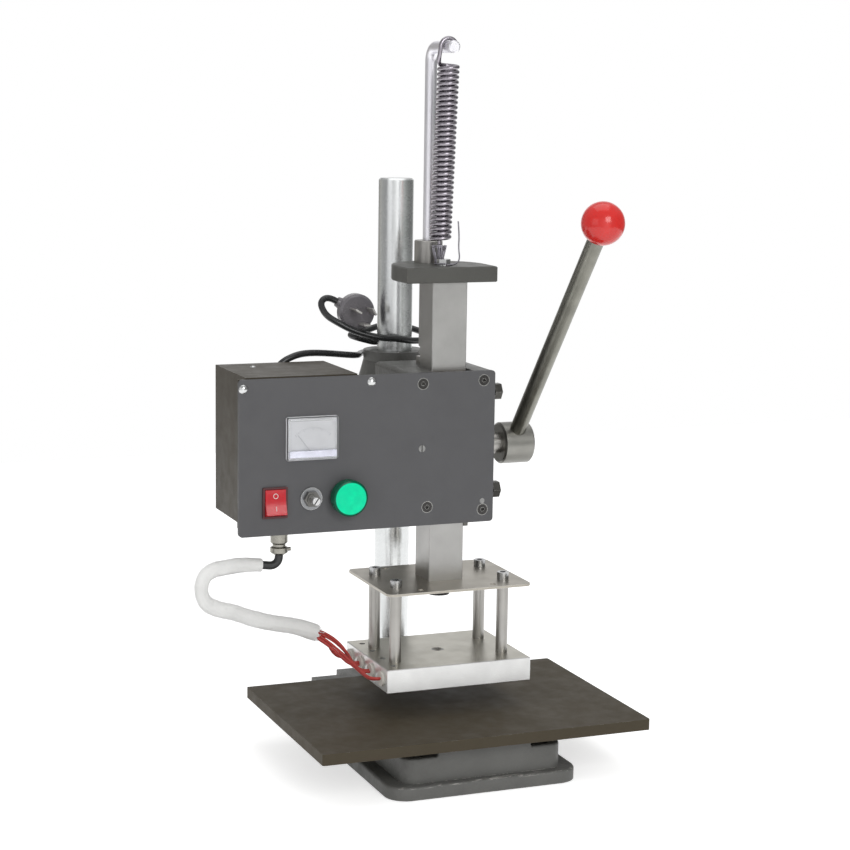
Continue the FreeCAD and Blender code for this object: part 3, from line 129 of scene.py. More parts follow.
MAINS_ROUTE = [
    (-0.112, 0.087, 0.272), (-0.1115, 0.101, 0.271), (-0.11, 0.11, 0.262), (-0.112, 0.111, 0.246),
    (-0.122, 0.105, 0.235), (-0.135, 0.096, 0.24), (-0.142, 0.086, 0.26), (-0.143, 0.078, 0.283),
    (-0.139, 0.072, 0.305), (-0.13, 0.0695, 0.322), (-0.1197, 0.0685, 0.3352), (-0.1085, 0.07, 0.34),
    (-0.0985, 0.073, 0.3417), (-0.0852, 0.08, 0.341), (-0.0675, 0.091, 0.3385), (-0.0498, 0.104, 0.3353),
    (-0.0312, 0.119, 0.3321), (-0.022, 0.1395, 0.3313), (-0.008, 0.1535, 0.331), (0.01, 0.1615, 0.333),
    (0.024, 0.156, 0.341), (0.02, 0.143, 0.3465), (0.006, 0.1375, 0.3435), (-0.0106, 0.1305, 0.3418),
    (-0.0215, 0.1215, 0.345), (-0.0295, 0.1184, 0.3472), (-0.035, 0.122, 0.3488), (-0.0355, 0.1295, 0.3495),
    (-0.028, 0.1363, 0.3499), (-0.016, 0.1398, 0.3515), (-0.004, 0.1424, 0.355), (0.011, 0.148, 0.3555),
    (0.028, 0.139, 0.3525), (0.036, 0.119, 0.3485), (0.03, 0.101, 0.3465), (0.01, 0.094, 0.3465),
    (-0.0048, 0.09, 0.3496), (-0.0187, 0.0905, 0.3505), (-0.0323, 0.093, 0.353), (-0.0457, 0.096, 0.3576),
    (-0.0578, 0.0998, 0.3642), (-0.0672, 0.1055, 0.3705), (-0.0702, 0.112, 0.381), (-0.0619, 0.1138, 0.386),
    (-0.05401, 0.11285, 0.38135)]

CABLE_ROUTE = [
    (-0.14, 0.01, 0.1825), (-0.14, 0.01, 0.1785), (-0.1423, 0.01, 0.1749), (-0.1462, 0.01, 0.1732),
    (-0.1516, 0.01, 0.17398), (-0.1555, 0.01, 0.1744)]

SLEEVE_ROUTE = [
    (-0.1555, 0.01, 0.1744), (-0.1685, 0.01, 0.1758), (-0.184, 0.01, 0.1748), (-0.202, 0.01, 0.1725),
    (-0.208, 0.01, 0.1595), (-0.2045, 0.0103, 0.146), (-0.193, 0.0108, 0.1393), (-0.1795, 0.0115, 0.136),
    (-0.1625, 0.013, 0.1284), (-0.1428, 0.0155, 0.1222), (-0.1215, 0.0185, 0.1174),
    (-0.1047, 0.022, 0.1098)]

WIRE_ROUTES = [
    [(-0.104, 0.0201, 0.1075), (-0.0965, 0.0185, 0.103), (-0.0895, 0.009, 0.0965),
     (-0.0845, -0.004, 0.0915), (-0.0805, -0.018, 0.087), (-0.0775, -0.029, 0.0834),
     (-0.0745, -0.0375, 0.0815), (-0.067, -0.0375, 0.0815)],
    [(-0.1024, 0.0205, 0.1111), (-0.0945, 0.02, 0.107), (-0.0865, 0.013, 0.1015), (-0.0815, 0.0015, 0.094),
     (-0.0785, -0.008, 0.086), (-0.0735, -0.0125, 0.0815), (-0.067, -0.0125, 0.0815)],
    [(-0.1049, 0.024, 0.1075), (-0.097, 0.0252, 0.1015), (-0.088, 0.021, 0.0940), (-0.081, 0.015, 0.0868),
     (-0.0745, 0.0125, 0.0815), (-0.067, 0.0125, 0.0815)],
    [(-0.1032, 0.0243, 0.1111), (-0.095, 0.027, 0.1040), (-0.0875, 0.033, 0.0945), (-0.0815, 0.037, 0.0862),
     (-0.0745, 0.0375, 0.0815), (-0.067, 0.0375, 0.0815)]]

# The spring: its turns, the middle of its foot and top, and what holds it at the top and bottom.
SPRING_TURNS = 34
SPRING_LOW = Vector((0.0, 0.0080, 0.4440))
SPRING_HIGH = Vector((0.0, -0.0038, 0.5840))
HANGER_AXIS_Z = 0.601
HANGER_RADIUS = 0.005
STOP_TOP = 0.4215
TIE_Y = 0.010
TIE_HEIGHT = 0.0165

# The sleeve: the weave's wave scale for strands 1.1 mm apart on UVs of 1 to a centimetre, and the rings of
# its mouth as distance past the cut and share of the radius.
WEAVE_SCALE = 10.0 / 1.1 / 3.14
SLEEVE_MOUTH = ((0.0002, 0.95), (-0.0002, 0.90), (-0.006, 0.88), (-0.016, 0.86), (-0.022, 0.60),
                (-0.024, 0.05))
YARNS = 15
YARN_RADIUS = 0.00022

# The camera's place in metres, and its turn in degrees to the right, down and anticlockwise.
CAMERA_PLACE = (-0.67551, -1.62765, 0.56943)
CAMERA_TURN = (22.10, 9.13, 0.84)
CAMERA_LENS_MM = 89.48
CAMERA_SENSOR_MM = 36.0
# Each lamp's name, place, width in metres and power in watts. All point at one place on the press.
LAMPS = (("key", (0.15, -1.9, 1.25), 0.9, 11.5), ("fill", (-1.9, -0.9, 0.8), 1.2, 3.2),
         ("top", (0.1, 0.25, 2.1), 1.6, 8.0))
LAMPS_AIM = (0.0, 0.0, 0.25)
# The room round the press: directions to the camera's side and to its right, and the walls' colour by share
# of a turn. 0 and 1 lie behind the press, 0.25 to the left, 0.5 at the camera's side and 0.75 to the right.
ROOM_FRONT = (-0.383, -0.924, 0.0)
ROOM_RIGHT = (0.924, -0.383, 0.0)
ROOM_WALLS = (
    (0.052, (1.0, 1.0, 1.0)), (0.085, (0.34, 0.33, 0.32)), (0.124, (0.27, 0.26, 0.25)),
    (0.150, (0.50, 0.49, 0.46)), (0.205, (0.42, 0.42, 0.41)), (0.296, (0.34, 0.34, 0.34)),
    (0.369, (0.39, 0.39, 0.40)), (0.436, (0.63, 0.63, 0.64)), (0.500, (1.0, 1.0, 1.0)),
    (0.551, (1.6, 1.6, 1.6)), (0.597, (0.90, 0.91, 0.90)), (0.631, (0.47, 0.48, 0.47)),
    (0.705, (0.23, 0.24, 0.23)), (0.795, (0.18, 0.18, 0.18)), (0.880, (0.21, 0.22, 0.21)),
    (0.915, (0.36, 0.37, 0.36)), (0.948, (1.0, 1.0, 1.0)))
ROOM_CEILING = (0.48, 0.48, 0.48, 1.0)
FLOOR_REACH = 1.5
FLOOR_TOP = -0.0005

# The meter's scale: degrees from end to end, ticks after the first, and the needle's turn from upright.
DIAL_SPAN = 84.0
DIAL_TICKS = 20
NEEDLE_TURN = -38.0
# What the switch key tips about.
KEY_PIVOT_Y = -0.0260
KEY_PIVOT_Z = 0.2338


# Mesh helpers

def new_piece(name, verts, faces, material, body=None, smooth=True, uvs=None):
    """A mesh object with its material, riding on a body."""
    mesh = bpy.data.meshes.new(name)
    mesh.from_pydata([tuple(v) for v in verts], [], faces)
    mesh.update()
    if uvs:
        layer = mesh.uv_layers.new(name="UVMap")
        for loop in mesh.loops:
            layer.data[loop.index].uv = uvs[loop.vertex_index]
    if smooth:
        mesh.shade_smooth()
        mesh.set_sharp_from_angle(angle=math.radians(40.0))
    mesh.materials.append(material)
    piece = bpy.data.objects.new(name, mesh)
    bpy.context.scene.collection.objects.link(piece)
    if body:
        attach(piece, body)
    return piece


def slab(low, high, bevel=0.0, segments=3):
    """Points and faces of a block with rounded edges."""
    shape = bmesh.new()
    bmesh.ops.create_cube(shape, size=1.0)
    middle = (Vector(low) + Vector(high)) / 2.0
    size = Vector(high) - Vector(low)
    for vert in shape.verts:
        vert.co = middle + Vector((vert.co.x * size.x, vert.co.y * size.y, vert.co.z * size.z))
    if bevel:
        bmesh.ops.bevel(shape, geom=shape.edges[:], offset=bevel, segments=segments, profile=0.5,
                        affect="EDGES")
    shape.verts.index_update()
    verts = [v.co.copy() for v in shape.verts]
    faces = [[v.index for v in f.verts] for f in shape.faces]
    shape.free()
    return verts, faces


def joined(parts):
    """Several meshes' points and faces as one."""
    verts, faces = [], []
    for part_verts, part_faces in parts:
        base = len(verts)
        verts += list(part_verts)
        faces += [[i + base for i in face] for face in part_faces]
    return verts, faces


def frames_along(points):
    """Tangent, side and up at each point of a line, turning as little as possible."""
    tangents = []
    for k in range(len(points)):
        before = points[max(k - 1, 0)]
        after = points[min(k + 1, len(points) - 1)]
        tangents.append((after - before).normalized())
    side = tangents[0].orthogonal().normalized()
    result = []
    for k, tangent in enumerate(tangents):
        if k:
            side = tangents[k - 1].rotation_difference(tangent) @ side
        side = (side - tangent * side.dot(tangent)).normalized()
        result.append((tangent, side, tangent.cross(side)))
    return result


def spoke(side, up, turn):
    """The direction of a spoke, at an angle round a line with this side and up."""
    return side * math.cos(turn) + up * math.sin(turn)


def ring_faces(first, last, sides):
    """Quads from one ring of points to another, with as many points in each ring as there are sides."""
    faces = []
    for k in range(first, last):
        for j in range(sides):
            after = (j + 1) % sides
            faces.append((k * sides + j, k * sides + after, (k + 1) * sides + after, (k + 1) * sides + j))
    return faces


def tube(points, radius, sides=12, section=None, capped=True):
    """Points, faces and UVs of a round tube. section(k, turn) may scale the radius at a point. The UVs run 1
    to a centimetre."""
    lines = frames_along(points)
    verts, uvs = [], []
    travelled = 0.0
    for k, point in enumerate(points):
        if k:
            travelled += (point - points[k - 1]).length
        _, side, up = lines[k]
        for j in range(sides):
            turn = math.tau * j / sides
            reach = radius * (section(k, turn) if section else 1.0)
            verts.append(point + spoke(side, up, turn) * reach)
            uvs.append((turn * radius * 100.0, travelled * 100.0))
    faces = ring_faces(0, len(points) - 1, sides)
    if capped:
        faces.append(tuple(reversed(range(sides))))
        faces.append(tuple(range((len(points) - 1) * sides, len(points) * sides)))
    return verts, faces, uvs


def route_curve(name, route):
    """A smooth NURBS curve with the route's points as its control points."""
    curve = bpy.data.curves.new(name, "CURVE")
    curve.dimensions = "3D"
    spline = curve.splines.new("NURBS")
    spline.points.add(len(route) - 1)
    for point, place in zip(spline.points, route):
        point.co = (*place, 1.0)
    spline.order_u = 3
    spline.use_endpoint_u = True
    curve.resolution_u = 16
    return curve


def centre_line(route):
    """Points read from the route's NURBS spline."""
    curve = route_curve("route", route)
    holder = bpy.data.objects.new("route", curve)
    line = bpy.data.meshes.new_from_object(holder)
    points = [v.co.copy() for v in line.vertices]
    bpy.data.objects.remove(holder)
    bpy.data.curves.remove(curve)
    bpy.data.meshes.remove(line)
    return points


def line_length(points):
    return sum((b - a).length for a, b in zip(points, points[1:]))


def hermite(start, start_way, end, end_way, steps):
    """Points on a smooth line between two points with given directions, without the last."""
    points = []
    for k in range(steps):
        t = k / steps
        t2, t3 = t * t, t * t * t
        points.append(start * (2 * t3 - 3 * t2 + 1) + start_way * (t3 - 2 * t2 + t)
                      + end * (3 * t2 - 2 * t3) + end_way * (t3 - t2))
    return points


# Material helpers

WHITE = (1.0, 1.0, 1.0, 1.0)
EVEN = (1.0, 1.0, 1.0)
PVC_IOR = NYLON_IOR = 1.53
ABS_IOR = 1.53
# Places of the Mix node's colour sockets, which share their names with its other sockets.
MIX_FACTOR, MIX_UNDER, MIX_OVER, MIX_RESULT = 0, 6, 7, 2


def fill(tree, node, sockets):
    """Fills a node's sockets, by name or in order, with values, other nodes' outputs or nodes, which stand
    for their first output."""
    for key, value in sockets.items() if isinstance(sockets, dict) else enumerate(sockets):
        if isinstance(value, bpy.types.Node):
            value = value.outputs[0]
        if isinstance(value, bpy.types.NodeSocket):
            tree.links.new(value, node.inputs[key])
        else:
            node.inputs[key].default_value = value


def add_node(tree, kind, sockets=(), **settings):
    """Adds a shader node, sets its options and fills its sockets."""
    made = tree.nodes.new("ShaderNode" + kind)
    for key, value in settings.items():
        setattr(made, key, value)
    fill(tree, made, sockets)
    return made


def new_material(name, **shader):
    """A material with a Principled shader whose plain values are set on its own sockets."""
    material = bpy.data.materials.new(name)
    material.use_nodes = True
    tree = material.node_tree
    tree.nodes.clear()
    surface = add_node(tree, "BsdfPrincipled", {key.replace("_", " "): shader[key] for key in shader})
    add_node(tree, "OutputMaterial", {"Surface": surface})
    place = add_node(tree, "TexCoord").outputs["Object"]
    return material, tree, surface, place


def mottle(tree, place, size_mm, low, high, detail=3.0, stretch=EVEN, rough=0.55):
    """Cloudy variation between two values, with patches of about size_mm."""
    moved = add_node(tree, "Mapping", {"Vector": place, "Scale": stretch})
    cloud = add_node(tree, "TexNoise", {"Vector": moved, "Scale": 1000.0 / size_mm, "Detail": detail,
                                        "Roughness": rough})
    return add_node(tree, "MapRange", {"Value": cloud, "From Min": 0.3, "From Max": 0.7, "To Min": low,
                                       "To Max": high})


def shaded(tree, base, *amounts):
    """A colour made lighter or darker by each amount around 1."""
    for amount in amounts:
        mixed = add_node(tree, "Mix", {MIX_FACTOR: 1.0, MIX_UNDER: base, MIX_OVER: amount}, data_type="RGBA",
                         blend_type="MULTIPLY")
        base = mixed.outputs[MIX_RESULT]
    return base


def covered(tree, base, *layers):
    """A colour under layers, each a mask and the colour that shows where the mask is 1."""
    for mask, over in layers:
        mixed = add_node(tree, "Mix", {MIX_FACTOR: mask, MIX_UNDER: base, MIX_OVER: over}, data_type="RGBA")
        base = mixed.outputs[MIX_RESULT]
    return base


def relief(tree, *layers):
    """A normal bent by layers of relief, each a height, its strength and its depth in millimetres."""
    normal = None
    for height, strength, depth_mm in layers:
        sockets = {"Height": height, "Strength": strength, "Distance": depth_mm / 1000.0}
        if normal is not None:
            sockets["Normal"] = normal
        normal = add_node(tree, "Bump", sockets)
    return normal


def edge_mask(tree, reach, low=0.02, high=0.25):
    """1 on the mesh's sharp edges and 0 on its flats, from a bevelled normal."""
    rounded = add_node(tree, "Bevel", {"Radius": reach}, samples=4)
    flat = add_node(tree, "NewGeometry").outputs["Normal"]
    agreement = add_node(tree, "VectorMath", (rounded, flat), operation="DOT_PRODUCT").outputs["Value"]
    bend = add_node(tree, "Math", (1.0, agreement), operation="SUBTRACT")
    return add_node(tree, "MapRange", {"Value": bend, "From Min": low, "From Max": high})


def rim_scuff(tree, place, rim_z, rim_y):
    """Rubbed dashes on the rounded edge at height rim_z of a casting's front face, which lies at rim_y."""
    parts = add_node(tree, "SeparateXYZ", (place,)).outputs
    rise = add_node(tree, "Math", (parts["Z"], rim_z), operation="SUBTRACT")
    off = add_node(tree, "Math", (rise,), operation="ABSOLUTE")
    near = add_node(tree, "MapRange", {"Value": off, "From Min": 0.0013, "From Max": 0.0004})
    front = add_node(tree, "MapRange", {"Value": parts["Y"], "From Min": rim_y + 0.006,
                                        "From Max": rim_y + 0.004})
    dashes = mottle(tree, place, 3.2, -2.6, 2.0, detail=5.0, stretch=(0.30, 1.0, 1.6), rough=0.7)
    strip = add_node(tree, "Math", (near, front), operation="MULTIPLY")
    scuff = add_node(tree, "Math", (strip, dashes), operation="MULTIPLY")
    return add_node(tree, "Math", (scuff, 1.0), operation="MINIMUM")


def painted(name, base, chip, wear, gloss=(0.42, 0.55), peel_mm=0.9, peel=0.18, cast_mm=0.0, wear_share=0.6,
            tint=0.07, shine=0.5, rim=None):
    """Paint on metal: orange peel, slight clouding, and bare metal where edges have rubbed. cast_mm adds the
    grain of a casting, and a rim (z, y) is scuffed."""
    material, tree, surface, place = new_material(name, IOR=1.5, Specular_IOR_Level=shine)
    patchy = mottle(tree, place, 4.0, 0.0, 1.0, detail=4.0)
    whole = 1.0 - wear_share
    chance = add_node(tree, "MapRange", {"Value": patchy, "From Min": whole, "From Max": whole + 0.15})
    chipped = add_node(tree, "Math", (edge_mask(tree, wear), chance), operation="MULTIPLY")
    if rim:
        chipped = add_node(tree, "Math", (chipped, rim_scuff(tree, place, *rim)), operation="MAXIMUM")
    paint = shaded(tree, base, mottle(tree, place, 38.0, 1.0 - tint, 1.0 + tint))
    layers = [(mottle(tree, place, peel_mm, 0.0, 1.0, detail=2.0), peel, 0.12)]
    if cast_mm:
        layers.append((mottle(tree, place, cast_mm, 0.0, 1.0, detail=2.0), 0.35, 0.5))
    fill(tree, surface, {"Base Color": covered(tree, paint, (chipped, chip)),
                         "Roughness": mottle(tree, place, 14.0, *gloss),
                         "Normal": relief(tree, *layers)})
    return material


def bare_metal(name, base, gloss, grain_mm, stretch=EVEN, depth=0.12, tint=0.05, cloud_mm=22.0, edge=None,
               edge_reach=0.0005, top_shade_colour=None):
    """Machined metal: fine lines along the way it was cut, and clouded polish. It may have edges of one
    colour, which on the heat control's washer is a painted highlight, and upward faces of another, a painted
    shade."""
    material, tree, surface, place = new_material(name, Metallic=1.0)
    lines = mottle(tree, place, grain_mm, 0.0, 1.0, detail=4.0, stretch=stretch, rough=0.65)
    cloud = mottle(tree, place, cloud_mm, 1.0 - tint, 1.0 + tint)
    streaks = add_node(tree, "MapRange", {"Value": lines, "To Min": 0.94, "To Max": 1.03})
    tone = shaded(tree, base, cloud, streaks)
    if edge:
        tone = covered(tree, tone, (edge_mask(tree, edge_reach, 0.01, 0.18), edge))
    if top_shade_colour:
        # Faces turned upward take a darker colour, a painted shade.
        normal = add_node(tree, "NewGeometry").outputs["Normal"]
        rise = add_node(tree, "SeparateXYZ", (normal,)).outputs["Z"]
        top = add_node(tree, "Math", (rise, 0.9), operation="GREATER_THAN")
        tone = covered(tree, tone, (top, shaded(tree, top_shade_colour, cloud)))
    polish = add_node(tree, "MapRange", {"Value": lines, "To Min": gloss[0], "To Max": gloss[1]})
    smear = mottle(tree, place, cloud_mm * 0.6, -0.04, 0.05)
    fill(tree, surface, {"Base Color": tone,
                         "Roughness": add_node(tree, "Math", (polish, smear), operation="ADD"),
                         "Normal": relief(tree, (lines, depth, 0.05))})
    return material


def patched(tree, place, base, tone_mm, tones, gloss_mm, gloss):
    """The sockets of a shader whose colour and roughness vary in patches of their own sizes."""
    return {"Base Color": shaded(tree, base, mottle(tree, place, tone_mm, *tones)),
            "Roughness": mottle(tree, place, gloss_mm, *gloss)}


def moulded(name, base, gloss, tint=0.05, grain_mm=0.8, depth=0.1, **shader):
    """Moulded plastic or rubber: a fine skin and slight handling marks."""
    material, tree, surface, place = new_material(name, **shader)
    fill(tree, surface, patched(tree, place, base, 9.0, (1.0 - tint, 1.0 + tint), 6.0, gloss))
    skin = mottle(tree, place, grain_mm, 0.0, 1.0, detail=2.0)
    fill(tree, surface, {"Normal": relief(tree, (skin, depth, 0.08))})
    return material


def dress(material, *nodes):
    """Gives a CAD node's object its finish."""
    for name in nodes:
        piece = bpy.data.objects[name]
        if not piece.material_slots:
            piece.data.materials.append(material)
        for place in piece.material_slots:
            place.material = material


def colours():
    return bpy.context.scene.press_colours


def sizes():
    return bpy.context.scene.press_sizes


# Operators

class PRESS_OT_studio(bpy.types.Operator):
    """Camera, floor, backdrop and soft light"""
    bl_idname = "press.studio"
    bl_label = "Studio"

    def execute(self, context):
        self.set_camera(context.scene)
        self.hang_lamps(context.scene)
        self.build_room(context.scene)
        self.lay_paper()
        return {"FINISHED"}

    def set_camera(self, scene):
        yaw, pitch, roll = [math.radians(degrees) for degrees in CAMERA_TURN]
        ahead = Vector((math.sin(yaw) * math.cos(pitch), math.cos(yaw) * math.cos(pitch), -math.sin(pitch)))
        level = Vector((math.cos(yaw), -math.sin(yaw), 0.0))
        upright = level.cross(ahead)
        right = level * math.cos(roll) + upright * math.sin(roll)
        up = upright * math.cos(roll) - level * math.sin(roll)
        camera = bpy.data.objects.new("camera", bpy.data.cameras.new("camera"))
        scene.collection.objects.link(camera)
        camera.data.lens = CAMERA_LENS_MM
        camera.data.sensor_width = CAMERA_SENSOR_MM
        place = Matrix((right, up, -ahead)).transposed().to_4x4()
        place.translation = Vector(CAMERA_PLACE)
        camera.matrix_world = place
        scene.camera = camera
        scene.view_settings.view_transform = "Standard"

    def hang_lamps(self, scene):
        for name, spot, across, watts in LAMPS:
            lamp = bpy.data.lights.new(name, "AREA")
            lamp.shape = "SQUARE"
            lamp.size = across
            lamp.energy = watts
            holder = bpy.data.objects.new(name, lamp)
            scene.collection.objects.link(holder)
            holder.location = spot
            aim = Vector(LAMPS_AIM) - Vector(spot)
            holder.rotation_euler = aim.to_track_quat("-Z", "Y").to_euler()
            holder.visible_camera = False

    def shown(self, tree):
        """1 for the eye, for reflections and through glass, and 0 for the light that falls on things."""
        path = add_node(tree, "LightPath").outputs
        indirect = add_node(tree, "Math", (path["Is Glossy Ray"], path["Is Transmission Ray"]),
                            operation="MAXIMUM")
        return add_node(tree, "Math", (path["Is Camera Ray"], indirect), operation="MAXIMUM")

    def build_room(self, scene):
        # Seen by the eye and by shiny pieces: white paper behind the press, and round it a dim workshop with
        # a tall bright window in front, which puts the long streak on every upright bar.
        world = bpy.data.worlds.new("studio")
        scene.world = world
        world.use_nodes = True
        tree = world.node_tree
        tree.nodes.clear()
        way = add_node(tree, "TexCoord").outputs["Generated"]
        along = [add_node(tree, "VectorMath", (way, axis), operation="DOT_PRODUCT").outputs["Value"]
                 for axis in (ROOM_RIGHT, ROOM_FRONT)]
        bearing = add_node(tree, "Math", along, operation="ARCTAN2")
        share = add_node(tree, "Math", (bearing, 0.5 / math.pi, 0.5), operation="MULTIPLY_ADD")
        walls = add_node(tree, "ValToRGB", (share,))
        ramp = walls.color_ramp
        while len(ramp.elements) < len(ROOM_WALLS):
            ramp.elements.new(1.0)
        for stop, (position, tone) in zip(ramp.elements, ROOM_WALLS):
            stop.position = position
            stop.color = (*tone, 1.0)
        height = add_node(tree, "SeparateXYZ", (way,)).outputs["Z"]
        overhead = add_node(tree, "MapRange", {"Value": height, "From Min": 0.25, "From Max": 0.7},
                            interpolation_type="SMOOTHSTEP")
        room = covered(tree, walls, (overhead, ROOM_CEILING))
        seen = add_node(tree, "Background", {"Color": room, "Strength": 1.0})
        even = add_node(tree, "Background", {"Color": WHITE, "Strength": 0.55})
        either = add_node(tree, "MixShader", (self.shown(tree), even, seen))
        add_node(tree, "OutputWorld", {"Surface": either})

    def lay_paper(self):
        # Studio paper: white to the eye, with the press's own shadow kept by the share of light it gets.
        material, tree, surface, place = new_material("studio_paper", Roughness=0.9)
        cloud = mottle(tree, place, 300.0, 0.99, 1.01)
        fill(tree, surface, {"Base Color": shaded(tree, colours().floor, cloud)})
        glow = add_node(tree, "Emission", {"Color": WHITE, "Strength": 0.60})
        lit = add_node(tree, "AddShader", (surface, glow))
        either = add_node(tree, "MixShader", (self.shown(tree), surface, lit))
        output = next(node for node in tree.nodes if node.type == "OUTPUT_MATERIAL")
        fill(tree, output, {"Surface": either})
        corners = ((-1, -1), (1, -1), (1, 1), (-1, 1))
        verts = [(FLOOR_REACH * x, FLOOR_REACH * y, FLOOR_TOP) for x, y in corners]
        new_piece("floor", verts, [(0, 1, 2, 3)], material, smooth=False)


class PRESS_OT_mains_cord(bpy.types.Operator):
    """Mains cord with its moulded plug"""
    bl_idname = "press.mains_cord"
    bl_label = "Mains cord"

    def execute(self, context):
        # PVC, extruded and cooled in water: black, a soft shine, slightly wavy skin.
        sheath = moulded("pvc_extruded_black", colours().cord, (0.22, 0.32), grain_mm=3.0, depth=0.12,
                         IOR=PVC_IOR)
        curve = route_curve("mains_cord", MAINS_ROUTE)
        curve.bevel_depth = sizes().cord_across / 2.0
        curve.bevel_resolution = 6
        curve.use_fill_caps = True
        curve.materials.append(sheath)
        cord = bpy.data.objects.new("mains_cord", curve)
        context.scene.collection.objects.link(cord)
        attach(cord, "head")
        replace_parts(cord, "power_cord")

        # PVC, injection moulded round the blades: dark grey and glossy, with a fine grain in the highlights.
        dress(moulded("pvc_moulded_dark_grey", colours().plug, (0.20, 0.32), grain_mm=1.1, depth=0.12,
                      IOR=PVC_IOR), "plug_body")
        # Nylon, moulded: the black gland where the cord leaves the box.
        dress(moulded("nylon_gland_black", colours().cord, (0.38, 0.52), grain_mm=1.1, depth=0.2,
                      IOR=NYLON_IOR), "mains_gland")
        # Brass, nickel plated and drawn: bright, with lines along the blades.
        dress(bare_metal("brass_nickel_plated", colours().brass, (0.30, 0.45), 1.2, (6.0, 1.0, 6.0)),
              "plug_pins")
        line_length(centre_line(MAINS_ROUTE))
        return {"FINISHED"}


class PRESS_OT_heater_lead(bpy.types.Operator):
    """Short cable, fibre sleeve and red wires to the heated block"""
    bl_idname = "press.heater_lead"
    bl_label = "Heater lead"

    def execute(self, context):
        # PVC, extruded: the short black cable between the coupling and the sleeve.
        sheath = moulded("pvc_extruded_dull", colours().cord, (0.34, 0.48), grain_mm=2.0, depth=0.15,
                         IOR=PVC_IOR)
        points = centre_line(CABLE_ROUTE)
        verts, faces, uvs = tube(points, sizes().cable_across / 2.0, sides=24)
        cable = new_piece("lead_cable_skin", verts, faces, sheath, "head", uvs=uvs)
        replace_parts(cable, "lead_cable")

        self.sleeve()
        self.wires()
        return {"FINISHED"}

    def braid(self):
        # Glass fibre, braided and bleached: off white and matt, with a fine diagonal weave drawn at 1.1 mm,
        # coarser than the real 0.4 mm so that it shows.
        material, tree, surface, place = new_material("glass_fibre_braided", Roughness=0.85,
                                                      Sheen_Weight=0.5, Sheen_Roughness=0.6, IOR=1.45)
        woven = add_node(tree, "TexCoord").outputs["UV"]
        strands = []
        for lean in (math.radians(45.0), math.radians(-45.0)):
            moved = add_node(tree, "Mapping", {"Vector": woven, "Rotation": (0.0, 0.0, lean)})
            wave = add_node(tree, "TexWave", {"Vector": moved, "Scale": WEAVE_SCALE, "Distortion": 0.6,
                                              "Detail": 1.0})
            strands.append(wave.outputs["Fac"])
        weave = add_node(tree, "Math", strands, operation="MAXIMUM")
        pits = add_node(tree, "MapRange", {"Value": weave, "To Min": 0.93, "To Max": 1.0})
        handled = mottle(tree, place, 16.0, 0.95, 1.02)
        crumples = mottle(tree, place, 7.0, 0.0, 1.0, detail=3.0)
        fill(tree, surface, {"Base Color": shaded(tree, colours().sleeve, handled, pits),
                             "Normal": relief(tree, (weave, 0.35, 0.18), (crumples, 0.5, 0.9))})
        return material

    def sleeve(self):
        material = self.braid()
        points = centre_line(SLEEVE_ROUTE)
        count = len(points)
        radius = sizes().sleeve_across / 2.0
        sides = 48
        lines = frames_along(points)

        def crumpled(k, turn):
            """The loose braid stands taller than wide, with soft lengthwise folds and creased bends."""
            share = k / (count - 1)
            outward = spoke(*lines[k][1:], turn)
            across, over = math.cos(turn), math.sin(turn)
            crease = 0.07 * noise.noise(Vector((across * 1.9, over * 1.9, share * 15.0)))
            folds = 0.04 * noise.noise(Vector((across * 3.6, over * 3.6, share * 5.0)))
            pinch = 0.04 * noise.noise(Vector((share * 60.0, across * 0.8, 3.0)))
            tall = 0.16 * outward.z * outward.z * min(1.0, 0.35 + share * 1.6) - 0.03
            ends = 0.90 + 0.10 * min(1.0, share / 0.06)
            flare = 0.08 * max(0.0, (share - 0.9) / 0.1)
            return (1.0 + crease + folds + pinch + tall + flare) * ends

        verts, faces, uvs = tube(points, radius, sides=sides, section=crumpled, capped=False)
        last = (count - 1) * sides
        tangent = lines[-1][0]
        for j in range(sides):
            turn = math.tau * j / sides
            ragged = 0.0014 + 0.0026 * noise.noise(Vector((math.cos(turn) * 4.0, math.sin(turn) * 4.0, 5.0)))
            verts[last + j] = verts[last + j] + tangent * ragged
        # The mouth turns in over the cut and the inside runs back to close behind the wires.
        for depth, share in SLEEVE_MOUTH:
            for j in range(sides):
                rim = verts[last + j]
                verts.append(points[-1] + (rim - points[-1]) * share + tangent * depth)
                uvs.append((uvs[last + j][0], uvs[last + j][1] - depth * 100.0))
        rings = len(verts) // sides
        faces += ring_faces(count - 1, rings - 1, sides)
        faces.append(tuple(range((rings - 1) * sides, rings * sides)))
        faces.append(tuple(reversed(range(sides))))
        sleeve = new_piece("braided_sleeve", verts, faces, material, "head", uvs=uvs)
        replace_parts(sleeve, "heater_sleeve")
        self.yarns(points[-1], lines[-1], radius, material)

    def yarns(self, mouth, line, radius, material):
        """Loose yarns at the sleeve's cut, each thinner than the weave's drawn strands."""
        tangent, side, up = line
        verts, faces, uvs = [], [], []
        for k in range(YARNS):
            turn = math.tau * (k + 0.4 * math.sin(k * 5.1)) / YARNS
            rim = mouth + spoke(side, up, turn) * radius * 0.98
            reach = 0.004 + 0.0035 * (1.0 + math.sin(k * 2.7)) / 2.0
            bow = (rim - mouth).normalized() * 0.0016 * math.sin(k * 3.9)
            root = rim - tangent * 0.002
            bend = rim + tangent * reach * 0.5 + bow
            tip = rim + tangent * reach - bow * 0.6
            yarn = [root.lerp(bend, t / 3.0) for t in range(3)] + [bend.lerp(tip, t / 3.0) for t in range(4)]
            yarn_verts, yarn_faces, yarn_uvs = tube(yarn, YARN_RADIUS, sides=6)
            faces += [tuple(i + len(verts) for i in face) for face in yarn_faces]
            verts += yarn_verts
            uvs += yarn_uvs
        new_piece("sleeve_yarns", verts, faces, material, "head", uvs=uvs)

    def wires(self):
